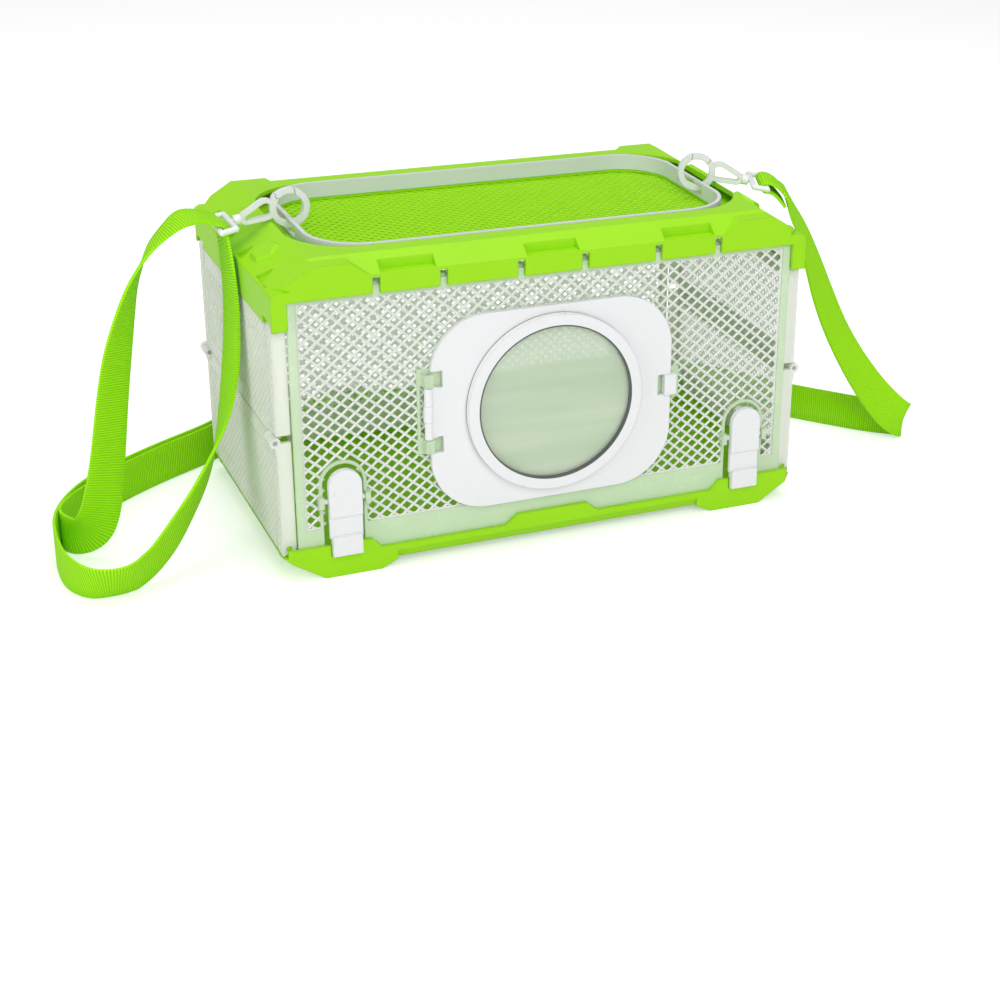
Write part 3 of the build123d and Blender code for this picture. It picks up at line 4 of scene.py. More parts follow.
import bpy
from mathutils import Matrix, Vector


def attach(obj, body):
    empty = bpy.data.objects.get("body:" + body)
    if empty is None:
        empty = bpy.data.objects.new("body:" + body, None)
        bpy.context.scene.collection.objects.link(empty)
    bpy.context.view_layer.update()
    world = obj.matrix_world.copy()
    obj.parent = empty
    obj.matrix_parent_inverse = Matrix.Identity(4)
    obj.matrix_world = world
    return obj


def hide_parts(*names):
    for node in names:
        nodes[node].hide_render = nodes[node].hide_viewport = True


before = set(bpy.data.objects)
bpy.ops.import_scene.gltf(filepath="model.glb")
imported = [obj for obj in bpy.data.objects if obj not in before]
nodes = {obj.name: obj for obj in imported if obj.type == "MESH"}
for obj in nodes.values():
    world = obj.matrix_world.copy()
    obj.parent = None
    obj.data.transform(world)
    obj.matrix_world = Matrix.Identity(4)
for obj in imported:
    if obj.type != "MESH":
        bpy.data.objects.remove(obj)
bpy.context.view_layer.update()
MM = 0.001


# Helpers
def new_material(name):
    """A material with its node tree and its shader."""
    material = bpy.data.materials.new(name)
    material.use_nodes = True
    tree = material.node_tree
    return material, tree, tree.nodes["Principled BSDF"]


def node(tree, kind, **settings):
    """A new shader node with some of its settings."""
    made = tree.nodes.new(kind)
    for key, value in settings.items():
        setattr(made, key, value)
    return made


def dress(material, *names):
    """Gives CAD nodes a material in all their slots."""
    for name in names:
        mesh = nodes[name].data
        mesh.materials.clear()
        mesh.materials.append(material)


def select_only(piece):
    """Deselects everything else and makes the piece active."""
    bpy.ops.object.select_all(action="DESELECT")
    piece.select_set(True)
    bpy.context.view_layer.objects.active = piece


def point_outwards(piece):
    """Recalculates a closed piece's normals in edit mode."""
    select_only(piece)
    bpy.ops.object.mode_set(mode="EDIT")
    bpy.ops.mesh.select_all(action="SELECT")
    bpy.ops.mesh.normals_make_consistent(inside=False)
    bpy.ops.object.mode_set(mode="OBJECT")


# Camera, floor and lights
# The camera stands where the photograph was taken, above and to the left of the front.
# The optical axis lies right of the picture's middle, so the lens is shifted.
# The floor's glow is seen by the camera alone, and the sky is brighter for the camera and
# through clear plastic than as a light, so the ground stays white under soft lamps.
CAMERA_PLACE = (-0.3311, -0.8774, 0.4289)
CAMERA_AZIMUTH = radians(26.607)
CAMERA_ELEVATION = radians(24.897)
CAMERA_ROLL = radians(2.161)
CAMERA_LENS = 70.65
CAMERA_SENSOR = 36
CAMERA_SHIFT = (-0.1854, -0.0039)
FLOOR_SIDE = 8
FLOOR_GLOW = 0.38
SKY_AS_LIGHT = 0.41
SKY_AS_SEEN = 1.0
LAMP_AIM = (0, 0, 0.07)


def camera_turn():
    """Rotation of the camera from its azimuth, elevation and roll."""
    toward = Vector((sin(CAMERA_AZIMUTH) * cos(CAMERA_ELEVATION),
                     cos(CAMERA_AZIMUTH) * cos(CAMERA_ELEVATION), -sin(CAMERA_ELEVATION)))
    right = toward.cross(Vector((0, 0, 1))).normalized()
    up = right.cross(toward)
    right_rolled = right * cos(CAMERA_ROLL) + up * sin(CAMERA_ROLL)
    up_rolled = up * cos(CAMERA_ROLL) - right * sin(CAMERA_ROLL)
    return Matrix((right_rolled, up_rolled, -toward)).transposed()


bpy.ops.object.camera_add()
camera = bpy.context.object
camera.matrix_world = Matrix.Translation(CAMERA_PLACE) @ camera_turn().to_4x4()
camera.data.lens = CAMERA_LENS
camera.data.sensor_width = CAMERA_SENSOR
camera.data.shift_x = CAMERA_SHIFT[0]
camera.data.shift_y = CAMERA_SHIFT[1]
camera.data.clip_start = 0.01
bpy.context.scene.camera = camera
bpy.context.scene.view_settings.view_transform = "Standard"

bpy.ops.mesh.primitive_plane_add(size=FLOOR_SIDE, location=(0, 0, 0))
floor = bpy.context.object
floor.name = "floor"
floor_paint, floor_tree, floor_shader = new_material("floor paint")
floor_shader.inputs["Base Color"].default_value = (0.9, 0.9, 0.9, 1)
floor_shader.inputs["Roughness"].default_value = 0.9
floor_shader.inputs["Specular IOR Level"].default_value = 0.1
floor_shader.inputs["Emission Color"].default_value = (1, 1, 1, 1)
seen_by = node(floor_tree, "ShaderNodeLightPath")
glow = node(floor_tree, "ShaderNodeMath", operation="MULTIPLY")
glow.inputs[1].default_value = FLOOR_GLOW
floor_tree.links.new(seen_by.outputs["Is Camera Ray"], glow.inputs[0])
floor_tree.links.new(glow.outputs[0], floor_shader.inputs["Emission Strength"])
floor.data.materials.append(floor_paint)

world = bpy.data.worlds.new("studio")
bpy.context.scene.world = world
world.use_nodes = True
sky_tree = world.node_tree
sky = sky_tree.nodes["Background"]
sky.inputs["Color"].default_value = (1, 1, 1, 1)
sky_seen = node(sky_tree, "ShaderNodeLightPath")
seen_any = node(sky_tree, "ShaderNodeMath", operation="MAXIMUM")
sky_strength = node(sky_tree, "ShaderNodeMapRange")
sky_strength.inputs["To Min"].default_value = SKY_AS_LIGHT
sky_strength.inputs["To Max"].default_value = SKY_AS_SEEN
sky_tree.links.new(sky_seen.outputs["Is Camera Ray"], seen_any.inputs[0])
sky_tree.links.new(sky_seen.outputs["Is Transmission Ray"], seen_any.inputs[1])
sky_tree.links.new(seen_any.outputs[0], sky_strength.inputs["Value"])
sky_tree.links.new(sky_strength.outputs[0], sky.inputs["Strength"])


def studio_lamp(name, place, size, power):
    """A soft square lamp aimed at the middle of the cage."""
    bpy.ops.object.light_add(type="AREA", location=place)
    lamp = bpy.context.object
    lamp.name = name
    lamp.data.size = size
    lamp.data.energy = power
    lamp.rotation_euler = (Vector(LAMP_AIM) - Vector(place)).to_track_quat("-Z", "Y").to_euler()


studio_lamp("front lamp", (-0.1, -1.5, 1.1), 1.4, 15)
studio_lamp("left lamp", (-1.5, -0.35, 0.6), 1.2, 6.5)
studio_lamp("top lamp", (0.15, 0.2, 1.7), 1.2, 10)


# Shoulder strap
# Woven nylon webbing, 20 mm wide, dyed lime green. One end turns round the right loop's
# bar and is sewn on itself. The run lies behind the cage, passes the slider, turns round
# the left loop's bar and comes back to the slider, where it ends.
# Route points are in millimetres, each with the direction of the webbing's width.
WEB_WIDTH = 20 * MM
WEB_THICKNESS = 1.5 * MM
TURN_RADIUS = 2.65
ROUTE_STEPS = 12
SLIDER_X = -56.0
SLIDER_Y = 95.0
HOOK_X = 104.2
HOOK_Z = 159.0
RIGHT_HOOK_Y = -7
HOOK_SLOPE = radians(9)
RIGHT_YAW = radians(20)
LEFT_HOOK = (Matrix.Translation((-HOOK_X, 0, HOOK_Z)) @ Matrix.Rotation(pi, 4, "Z")
             @ Matrix.Rotation(HOOK_SLOPE, 4, "Y"))
RIGHT_HOOK = (Matrix.Translation((HOOK_X, RIGHT_HOOK_Y, HOOK_Z)) @ Matrix.Rotation(-RIGHT_YAW, 4, "Z")
              @ Matrix.Rotation(HOOK_SLOPE, 4, "Y"))
LOOP_BAR = Vector((35.4, 0, 0))
EDGE = (0, 0, 1)
LEFT_OUT = Vector((-1, 0, 0))
RIGHT_OUT = Vector((cos(RIGHT_YAW), -sin(RIGHT_YAW), 0))

right_strand = [
    ((151.5, -20, 141), (0.5, 0.86, 0)), ((160.5, -19.5, 126), (0.66, 0.72, -0.15)),
    ((167.5, -20, 109), (0.76, 0.62, -0.12)), ((175.5, -20.5, 88), (0.85, 0.52, -0.02)),
    ((185.5, -21, 66.5), (0.87, 0.49, 0.06)), ((197, -22.5, 47), (0.88, 0.42, 0.22)),
    ((209.5, -25, 29), (0.86, 0.28, 0.42)), ((221, -27, 16.5), (0.6, 0.1, 0.79)),
    ((228.5, -26.5, 11.3), (0.3, -0.1, 0.95)), ((230.5, -22.5, 10.5), (0.05, -0.05, 1)),
    ((225, -18, 10.2), EDGE), ((214, -9.5, 10.2), EDGE), ((199, 7, 10.2), EDGE),
    ((184, 24, 10.2), EDGE), ((167, 48, 10.2), EDGE), ((148, 75, 10.2), EDGE),
    ((127, 94, 10.2), EDGE), ((104, 101, 10.2), EDGE),
]
back_strand = [
    ((74, 103, 10.2), EDGE), ((40, 101, 10.2), EDGE), ((8, 96, 10.2), EDGE),
    ((-18, 92.4, 11.2), EDGE), ((-36, 92, 12.5), EDGE),
]
slider_pass = [
    ((8.4, -3.0, 12.6), EDGE), ((6.0, -0.6, 12.6), EDGE), ((4.4, 3.6, 12.6), EDGE),
    ((0, 5.4, 12.6), EDGE), ((-4.4, 3.6, 12.6), EDGE), ((-6.0, -0.6, 12.6), EDGE),
    ((-8.4, -3.0, 12.6), EDGE),
]
left_outer = [
    ((-75, 94.6, 12.3), EDGE), ((-90, 99.6, 11.0), EDGE), ((-105, 101.6, 10.3), EDGE),
    ((-121, 93.5, 10.2), EDGE), ((-138, 81, 10.2), EDGE), ((-158, 70, 10.2), EDGE),
    ((-183, 54, 10.2), EDGE), ((-203, 38, 10.2), EDGE), ((-217, 19, 10.2), EDGE),
    ((-225, 0, 10.2), EDGE), ((-227.5, -20, 10.2), (0, -0.1, 0.99)),
    ((-227, -42, 10.1), (0, -0.25, 0.96)), ((-218, -58, 10.0), (-0.05, -0.42, 0.9)),
    ((-203, -60, 10.0), (-0.12, -0.5, 0.86)), ((-190, -50, 11.5), (-0.28, -0.54, 0.8)),
    ((-179, -42.5, 19), (-0.45, -0.62, 0.63)), ((-168, -33, 28), (-0.42, -0.75, 0.5)),
    ((-158.5, -25, 38), (-0.35, -0.82, 0.47)), ((-151, -19, 50), (-0.2, -0.9, 0.4)),
    ((-146, -16, 62), (0, -0.93, 0.36)), ((-142.5, -14.5, 74), (0.1, -0.93, 0.33)),
    ((-139.5, -13, 88), (0.15, -0.94, 0.3)), ((-137.5, -11.5, 104), (0.12, -0.96, 0.2)),
    ((-136.5, -10, 120), (0.08, -0.98, 0.1)), ((-136.3, -7, 134), (0.05, -1, 0.05)),
    ((-136.2, -3, 143), (0, -1, 0)),
]
left_inner = [
    ((-155, -1, 158.8), (-0.1, -0.97, -0.1)), ((-163, -2, 153.5), (-0.14, -0.98, 0)),
    ((-170, -2, 147), (-0.12, -0.98, 0.13)), ((-175, -2, 139), (-0.2, -0.93, 0.3)),
    ((-180, -2, 129), (-0.35, -0.88, 0.32)), ((-184.5, -2.5, 115), (-0.55, -0.78, 0.32)),
    ((-189.5, -3, 96), (-0.72, -0.62, 0.32)), ((-194, -5, 74), (-0.78, -0.54, 0.32)),
    ((-198, -8, 52), (-0.82, -0.47, 0.33)), ((-201.5, -11, 37), (-0.88, -0.38, 0.31)),
    ((-205, -13, 24), (-0.93, -0.2, 0.35)), ((-209.5, -11.5, 14.5), (-0.72, 0, 0.7)),
    ((-216, -6.5, 10.6), (-0.25, 0.1, 0.96)), ((-221.3, 1, 10.3), (0, 0.05, 1)),
    ((-220.5, 10, 10.2), EDGE), ((-212.5, 22, 10.2), EDGE), ((-199, 35, 10.2), EDGE),
    ((-181, 50.5, 10.2), EDGE), ((-157, 66.2, 10.2), EDGE), ((-137, 77.2, 10.2), EDGE),
    ((-120, 89.6, 10.3), EDGE), ((-105, 98.2, 10.6), EDGE), ((-91, 96.4, 11.4), EDGE),
    ((-76, 91.6, 12.4), EDGE),
]
slider_end = [
    ((-6.6, -5.4, 12.6), EDGE), ((-3.6, -2.6, 12.6), EDGE), ((-3.0, 0, 12.6), EDGE),
    ((-2.2, 2.2, 12.6), EDGE), ((0, 2.9, 12.6), EDGE), ((2.2, 2.2, 12.6), EDGE),
    ((3.0, 0, 12.6), EDGE), ((2.6, -3.0, 12.6), EDGE), ((-0.6, -5.8, 12.6), EDGE),
    ((-6, -8.0, 12.6), EDGE), ((-12, -8.9, 12.6), EDGE),
]


def bar_turn(hook, out, angles):
    """Points of the webbing round a loop's bar, with the bar's direction as its width."""
    bar = hook @ LOOP_BAR
    across = hook.to_3x3() @ Vector((0, 1, 0))
    rise = Vector((0, 0, TURN_RADIUS))
    return [(bar + out * TURN_RADIUS * cos(radians(a)) + rise * sin(radians(a)), across) for a in angles]


def beside_bar(hook, out, steps):
    """Points near a loop's bar, as distances outward and up from the bar."""
    bar = hook @ LOOP_BAR
    across = hook.to_3x3() @ Vector((0, 1, 0))
    return [(bar + out * u + Vector((0, 0, v)), across) for u, v in steps]


def at_slider(points):
    """Route points given from the slider's middle."""
    return [((x + SLIDER_X, y + SLIDER_Y, z), width) for (x, y, z), width in points]


web_route = beside_bar(RIGHT_HOOK, RIGHT_OUT, [(10.2, -10.2), (5.6, -4.4)])
web_route += bar_turn(RIGHT_HOOK, RIGHT_OUT, (300, 245, 190, 135, 80))
web_route += beside_bar(RIGHT_HOOK, RIGHT_OUT, [(5.4, 0.8), (10.4, -4.2)])
web_route += right_strand + back_strand + at_slider(slider_pass) + left_outer
web_route += beside_bar(LEFT_HOOK, LEFT_OUT, [(-2.9, -5.4)])
web_route += bar_turn(LEFT_HOOK, LEFT_OUT, (180, 140, 100))
web_route += beside_bar(LEFT_HOOK, LEFT_OUT, [(3.6, 4.0), (8.4, 5.6)])
web_route += left_inner + at_slider(slider_end)


def smooth_line(points, resolution):
    """Points of the NURBS curve that has these control points."""
    curve = bpy.data.curves.new("route", "CURVE")
    curve.dimensions = "3D"
    spline = curve.splines.new("NURBS")
    spline.points.add(len(points) - 1)
    for spot, point in zip(spline.points, points):
        spot.co = (*point, 1)
    spline.order_u = 3
    spline.use_endpoint_u = True
    spline.resolution_u = resolution
    holder = bpy.data.objects.new("route", curve)
    bpy.context.scene.collection.objects.link(holder)
    mesh = bpy.data.meshes.new_from_object(holder.evaluated_get(bpy.context.evaluated_depsgraph_get()))
    line = [v.co.copy() for v in mesh.vertices]
    bpy.data.objects.remove(holder)
    bpy.data.meshes.remove(mesh)
    return line


def ribbon(name, route):
    """A woven ribbon along a route, with its own lengthwise and widthwise map."""
    centre = smooth_line([Vector(p) * MM for p, _ in route], ROUTE_STEPS)
    side = smooth_line([Vector(w).normalized() for _, w in route], ROUTE_STEPS)
    assert len(centre) == len(side)
    section = [(-1, -0.8), (-0.97, -1), (-0.5, -1), (0, -1), (0.5, -1), (0.97, -1),
               (1, -0.8), (1, 0.8), (0.97, 1), (0.5, 1), (0, 1), (-0.5, 1), (-0.97, 1), (-1, 0.8)]
    verts, faces, along = [], [], [0.0]
    for n, middle in enumerate(centre):
        run = (centre[min(n + 1, len(centre) - 1)] - centre[max(n - 1, 0)]).normalized()
        wide = (side[n] - run * side[n].dot(run)).normalized()
        thick = run.cross(wide).normalized()
        if n:
            along.append(along[-1] + (middle - centre[n - 1]).length)
        verts += [middle + wide * (u * WEB_WIDTH / 2) + thick * (v * WEB_THICKNESS / 2) for u, v in section]
    ring = len(section)
    for n in range(len(centre) - 1):
        for k in range(ring):
            m = (k + 1) % ring
            faces.append((n * ring + k, n * ring + m, (n + 1) * ring + m, (n + 1) * ring + k))
    faces.append(tuple(reversed(range(ring))))
    faces.append(tuple(range(len(verts) - ring, len(verts))))
    mesh = bpy.data.meshes.new(name)
    mesh.from_pydata(verts, [], faces)
    mesh.validate()
    lie = mesh.uv_layers.new(name="weave")
    for face in mesh.polygons:
        for loop, corner in zip(face.loop_indices, face.vertices):
            row, k = divmod(corner, ring)
            lie.data[loop].uv = (along[row] / WEB_WIDTH, section[k][0] / 2)
    piece = bpy.data.objects.new(name, mesh)
    bpy.context.scene.collection.objects.link(piece)
    return piece, centre


def woven_nylon():
    """Dyed webbing: fine cross ribs and a fainter lengthwise weave."""
    material, tree, shader = new_material("woven lime nylon")
    place = node(tree, "ShaderNodeTexCoord")
    ribs = node(tree, "ShaderNodeTexWave", wave_type="BANDS", bands_direction="X")
    ribs.inputs["Scale"].default_value = 5.2
    ribs.inputs["Distortion"].default_value = 0.6
    ribs.inputs["Detail Scale"].default_value = 4.0
    ends = node(tree, "ShaderNodeTexWave", wave_type="BANDS", bands_direction="Y")
    ends.inputs["Scale"].default_value = 9.0
    ends.inputs["Distortion"].default_value = 0.4
    weave = node(tree, "ShaderNodeMix", data_type="FLOAT")
    weave.inputs["Factor"].default_value = 0.35
    tree.links.new(place.outputs["UV"], ribs.inputs["Vector"])
    tree.links.new(place.outputs["UV"], ends.inputs["Vector"])
    tree.links.new(ribs.outputs["Fac"], weave.inputs["A"])
    tree.links.new(ends.outputs["Fac"], weave.inputs["B"])
    shade = node(tree, "ShaderNodeValToRGB")
    shade.color_ramp.elements[0].position = 0.1
    shade.color_ramp.elements[0].color = (0.22, 0.60, 0.003, 1)
    shade.color_ramp.elements[1].position = 0.75
    shade.color_ramp.elements[1].color = (0.40, 0.92, 0.006, 1)
    tree.links.new(weave.outputs["Result"], shade.inputs["Fac"])
    tree.links.new(shade.outputs["Color"], shader.inputs["Base Color"])
    bump = node(tree, "ShaderNodeBump")
    bump.inputs["Strength"].default_value = 0.5
    bump.inputs["Distance"].default_value = 0.0004
    tree.links.new(weave.outputs["Result"], bump.inputs["Height"])
    tree.links.new(bump.outputs["Normal"], shader.inputs["Normal"])
    shader.inputs["Roughness"].default_value = 0.75
    shader.inputs["Specular IOR Level"].default_value = 0.2
    return material


webbing, web_line = ribbon("webbing", web_route)
point_outwards(webbing)
webbing.data.materials.append(woven_nylon())
bpy.ops.object.shade_smooth_by_angle(angle=radians(50))
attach(webbing, "shell")
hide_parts("strap_webbing")


# Green shells
# The tray and the roof frame are injection moulded in lime green polypropylene, satin
# outside with rounded edges. The carrier plate under the roof is moulded of the same.
SHELL_EDGE = 0.0008
PIECE_EDGE = 0.0006
FINE_EDGE = 0.0003
GRAIN_DEPTH = 0.00006


def moulded_plastic(name, low, high, roughness, edge, grain=0.25, gloss=0.5):
    """Moulded plastic with a soft mottle, a fine grain and rounded edges."""
    material, tree, shader = new_material(name)
    shader.inputs["Specular IOR Level"].default_value = gloss
    place = node(tree, "ShaderNodeTexCoord")
    mottle = node(tree, "ShaderNodeTexNoise")
    mottle.inputs["Scale"].default_value = 22
    mottle.inputs["Detail"].default_value = 3
    tree.links.new(place.outputs["Object"], mottle.inputs["Vector"])
    tint = node(tree, "ShaderNodeMix", data_type="RGBA")
    tint.inputs["A"].default_value = (*low, 1)
    tint.inputs["B"].default_value = (*high, 1)
    tree.links.new(mottle.outputs["Fac"], tint.inputs["Factor"])
    tree.links.new(tint.outputs["Result"], shader.inputs["Base Color"])
    rough = node(tree, "ShaderNodeMapRange")
    rough.inputs["To Min"].default_value = roughness - 0.05
    rough.inputs["To Max"].default_value = roughness + 0.07
    tree.links.new(mottle.outputs["Fac"], rough.inputs["Value"])
    tree.links.new(rough.outputs["Result"], shader.inputs["Roughness"])
    fine = node(tree, "ShaderNodeTexNoise")
    fine.inputs["Scale"].default_value = 900
    tree.links.new(place.outputs["Object"], fine.inputs["Vector"])
    rounded = node(tree, "ShaderNodeBevel", samples=4)
    rounded.inputs["Radius"].default_value = edge
    bump = node(tree, "ShaderNodeBump")
    bump.inputs["Strength"].default_value = grain
    bump.inputs["Distance"].default_value = GRAIN_DEPTH
    tree.links.new(fine.outputs["Fac"], bump.inputs["Height"])
    tree.links.new(rounded.outputs["Normal"], bump.inputs["Normal"])
    tree.links.new(bump.outputs["Normal"], shader.inputs["Normal"])
    return material


lime = moulded_plastic("lime polypropylene", (0.32, 0.72, 0.002), (0.36, 0.78, 0.004), 0.42, SHELL_EDGE,
                       gloss=0.3)
dress(lime, "base_tray", "top_frame", "roof_carrier")


# White and grey pieces
# The door, its ring, catch and clip, the latches and the snap hooks are gloss white
# moulded plastic. The liner in the roof opening is a duller, cooler white. The hinge
# rods and pins are grey.
gloss_white = moulded_plastic("gloss white plastic", (0.82, 0.83, 0.84), (0.86, 0.87, 0.88), 0.28,
                              PIECE_EDGE, grain=0.1)
dress(gloss_white, "door_plate", "door_hinge_clip", "door_catch", "front_right_latch",
      "front_left_latch", "back_right_latch", "back_left_latch", "right_hook_body", "left_hook_body",
      "right_hook_gate", "left_hook_gate", "right_swivel_loop", "left_swivel_loop", "strap_slider")
ring_white = moulded_plastic("matt white plastic", (0.66, 0.69, 0.68), (0.72, 0.75, 0.74), 0.45,
                             PIECE_EDGE)
dress(ring_white, "liner_ring")
grey_rod = moulded_plastic("grey rod plastic", (0.32, 0.35, 0.33), (0.38, 0.41, 0.39), 0.4, FINE_EDGE)
dress(grey_rod, "front_hinge_rod", "back_hinge_rod", "door_hinge_pin", "left_mid_pins", "right_mid_pins")


# Clear walls
# The walls are moulded in clear, slightly milky polypropylene: smooth borders round a
# net of crossed strands, with the hinge barrels, lugs and knuckles in the same shot.
def milky_plastic(name, colour, alpha, roughness, edge):
    """Milky clear plastic that lets some of what is behind it through."""
    material, tree, shader = new_material(name)
    place = node(tree, "ShaderNodeTexCoord")
    cloud = node(tree, "ShaderNodeTexNoise")
    cloud.inputs["Scale"].default_value = 60
    cloud.inputs["Detail"].default_value = 4
    tree.links.new(place.outputs["Object"], cloud.inputs["Vector"])
    rough = node(tree, "ShaderNodeMapRange")
    rough.inputs["To Min"].default_value = roughness - 0.06
    rough.inputs["To Max"].default_value = roughness + 0.08
    tree.links.new(cloud.outputs["Fac"], rough.inputs["Value"])
    tree.links.new(rough.outputs["Result"], shader.inputs["Roughness"])
    tint = node(tree, "ShaderNodeMix", data_type="RGBA")
    tint.inputs["A"].default_value = (*colour, 1)
    tint.inputs["B"].default_value = (*[min(1, c * 1.08) for c in colour], 1)
    tree.links.new(cloud.outputs["Fac"], tint.inputs["Factor"])
    tree.links.new(tint.outputs["Result"], shader.inputs["Base Color"])
    rounded = node(tree, "ShaderNodeBevel", samples=4)
    rounded.inputs["Radius"].default_value = edge
    tree.links.new(rounded.outputs["Normal"], shader.inputs["Normal"])
    shader.inputs["Alpha"].default_value = alpha
    shader.inputs["Specular IOR Level"].default_value = 0.6
    return material


milky = milky_plastic("milky clear plastic", (0.70, 0.87, 0.60), 0.70, 0.25, PIECE_EDGE)
dress(milky, "front_wall")
# The back wall and the end panels take a paler copy of the same plastic, painted lighter to stand in for
# the light that passes through the milky plastic into the cage.
milky_painted_backlit = milky_plastic("milky plastic painted backlit", (0.92, 0.98, 0.86), 0.72, 0.3, PIECE_EDGE)
dress(milky_painted_backlit, "back_wall", "left_lower_panel", "left_upper_panel", "right_lower_panel",
      "right_upper_panel")
# The nets are painted paler still: painted light, standing in for the light that passes through the thin
# milky strands and for the shade they would otherwise show.
net_painted_lit = milky_plastic("milky clear net painted lit", (0.92, 0.96, 0.90), 0.82, 0.3, FINE_EDGE)
net_painted_backlit = milky_plastic("milky net painted backlit", (0.93, 0.98, 0.88), 0.55, 0.35, FINE_EDGE)


# Wall nets
# Each net is a flat grid turned by 45 degrees and squashed, so its holes are diamonds a
# little wider than high. A cell is the width and height of one diamond. The front and
# back nets leave out the latch arches, and the front one the door's surround too.
FRONT_CELL = (6.65 * MM, 5.6 * MM)
BACK_CELL = (5.6 * MM, 5.0 * MM)
END_CELL = (4.6 * MM, 4.0 * MM)
FRONT_STRAND = 1.35 * MM
BACK_STRAND = 2.0 * MM
END_STRAND = 1.5 * MM
FRONT_NET_SIZE = (243.6 * MM, 110.5 * MM)
FRONT_NET_MIDDLE_Z = 80.25 * MM
BACK_NET_SIZE = (243.6 * MM, 97.0 * MM)
BACK_NET_MIDDLE_Z = 73.5 * MM
NET_DEPTH = 1.5 * MM
WALL_MIDDLE_Y = 68.9 * MM
END_NET_WIDTH = 131.0 * MM
END_NET_SPANS = (("lower", 13.4, 69.4), ("upper", 70.6, 123.8))
END_NET_DEPTH = 1.4 * MM
END_NET_X = 132.7 * MM
LATCH_X = 104.0 * MM
ARCH_HALF = 12.2 * MM
ARCH_SPRING = 46.6 * MM
DOOR_MIDDLE_Z = 73.0 * MM
SURROUND_HALF = (57.5 * MM, 47.5 * MM)
SURROUND_CORNER = 27.0 * MM
HINGE_MIDDLE_Z = 76.2 * MM
HINGE_HALF_HEIGHT = 20.0 * MM
HINGE_REACH = 66.2 * MM
CATCH_MIDDLE_Z = 73.8 * MM
CATCH_HALF_HEIGHT = 8.0 * MM
CATCH_REACH = 66.0 * MM
UPRIGHT = Matrix.Rotation(radians(90), 4, "X")
ON_END = Matrix.Rotation(radians(90), 4, "Z") @ UPRIGHT


def net_sheet(name, extent, centre, cell, strand, depth, keep=None):
    """A flat net of crossed strands with diamond holes, lying in X and Y at the origin."""
    width, height = extent
    side = cell[0] / 2 ** 0.5
    count = int((width + height) / side) + 4
    bpy.ops.object.select_all(action="DESELECT")
    bpy.ops.mesh.primitive_grid_add(x_subdivisions=count, y_subdivisions=count, size=count * side)
    sheet = bpy.context.object
    sheet.name = name
    sheet.data.transform(Matrix.Rotation(radians(45), 4, "Z"))
    sheet.data.transform(Matrix.Scale(cell[1] / cell[0], 4, (0, 1, 0)))
    bpy.ops.object.mode_set(mode="EDIT")
    for place, normal in (((width / 2, 0, 0), (1, 0, 0)), ((-width / 2, 0, 0), (-1, 0, 0)),
                          ((0, height / 2, 0), (0, 1, 0)), ((0, -height / 2, 0), (0, -1, 0))):
        bpy.ops.mesh.select_all(action="SELECT")
        bpy.ops.mesh.bisect(plane_co=place, plane_no=normal, clear_outer=True)
    bpy.ops.mesh.select_all(action="DESELECT")
    bpy.ops.object.mode_set(mode="OBJECT")
    if keep:
        for face in sheet.data.polygons:
            face.select = not keep(face.center.x + centre[0], face.center.y + centre[1])
        bpy.ops.object.mode_set(mode="EDIT")
        bpy.ops.mesh.select_mode(type="FACE")
        bpy.ops.mesh.delete(type="FACE")
        bpy.ops.object.mode_set(mode="OBJECT")
    strands = sheet.modifiers.new("strands", "WIREFRAME")
    strands.thickness = strand
    strands.use_even_offset = True
    strands.use_boundary = True
    bpy.ops.object.modifier_apply(modifier="strands")
    sheet.data.transform(Matrix.Scale(depth / strand, 4, (0, 0, 1)))
    sheet.data.transform(Matrix.Translation((centre[0], centre[1], 0)))
    return sheet


def hang(piece, turn, place, body, replaced, material):
    """Sets a flat net in its plane and hands it to a body in place of a CAD node."""
    piece.data.transform(Matrix.Translation(place) @ turn)
    piece.data.materials.clear()
    piece.data.materials.append(material)
    point_outwards(piece)
    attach(piece, body)
    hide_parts(replaced)


def clear_of_arches(x, z):
    """Whether a spot on a wall is outside its latch arches."""
    aside = abs(abs(x) - LATCH_X)
    if z < ARCH_SPRING:
        return aside > ARCH_HALF
    return aside ** 2 + (z - ARCH_SPRING) ** 2 > ARCH_HALF ** 2


def clear_of_door(x, z):
    """Whether a spot on the front wall is outside the door's surround."""
    if not clear_of_arches(x, z):
        return False
    if abs(z - HINGE_MIDDLE_Z) < HINGE_HALF_HEIGHT and -HINGE_REACH < x < 0:
        return False
    if abs(z - CATCH_MIDDLE_Z) < CATCH_HALF_HEIGHT and 0 < x < CATCH_REACH:
        return False
    over_x = abs(x) - (SURROUND_HALF[0] - SURROUND_CORNER)
    over_z = abs(z - DOOR_MIDDLE_Z) - (SURROUND_HALF[1] - SURROUND_CORNER)
    if over_x > 0 and over_z > 0:
        return over_x ** 2 + over_z ** 2 > SURROUND_CORNER ** 2
    return over_x > SURROUND_CORNER or over_z > SURROUND_CORNER


front_net = net_sheet("front_net_strands", FRONT_NET_SIZE, (0, FRONT_NET_MIDDLE_Z), FRONT_CELL,
                      FRONT_STRAND, NET_DEPTH, clear_of_door)
hang(front_net, UPRIGHT, (0, -WALL_MIDDLE_Y, 0), "front", "front_net", net_painted_lit)
back_net = net_sheet("back_net_strands", BACK_NET_SIZE, (0, BACK_NET_MIDDLE_Z), BACK_CELL,
                     BACK_STRAND, NET_DEPTH, clear_of_arches)
hang(back_net, UPRIGHT, (0, WALL_MIDDLE_Y, 0), "back", "back_net", net_painted_backlit)
for side, x in (("left", -END_NET_X), ("right", END_NET_X)):
    for half, low, high in END_NET_SPANS:
        end_net = net_sheet(f"{side}_{half}_strands", (END_NET_WIDTH, (high - low) * MM),
                            (0, (low + high) / 2 * MM), END_CELL, END_STRAND, END_NET_DEPTH)
        hang(end_net, ON_END, (x, 0, 0), f"{side}_{half}", f"{side}_{half}_net", net_painted_backlit)


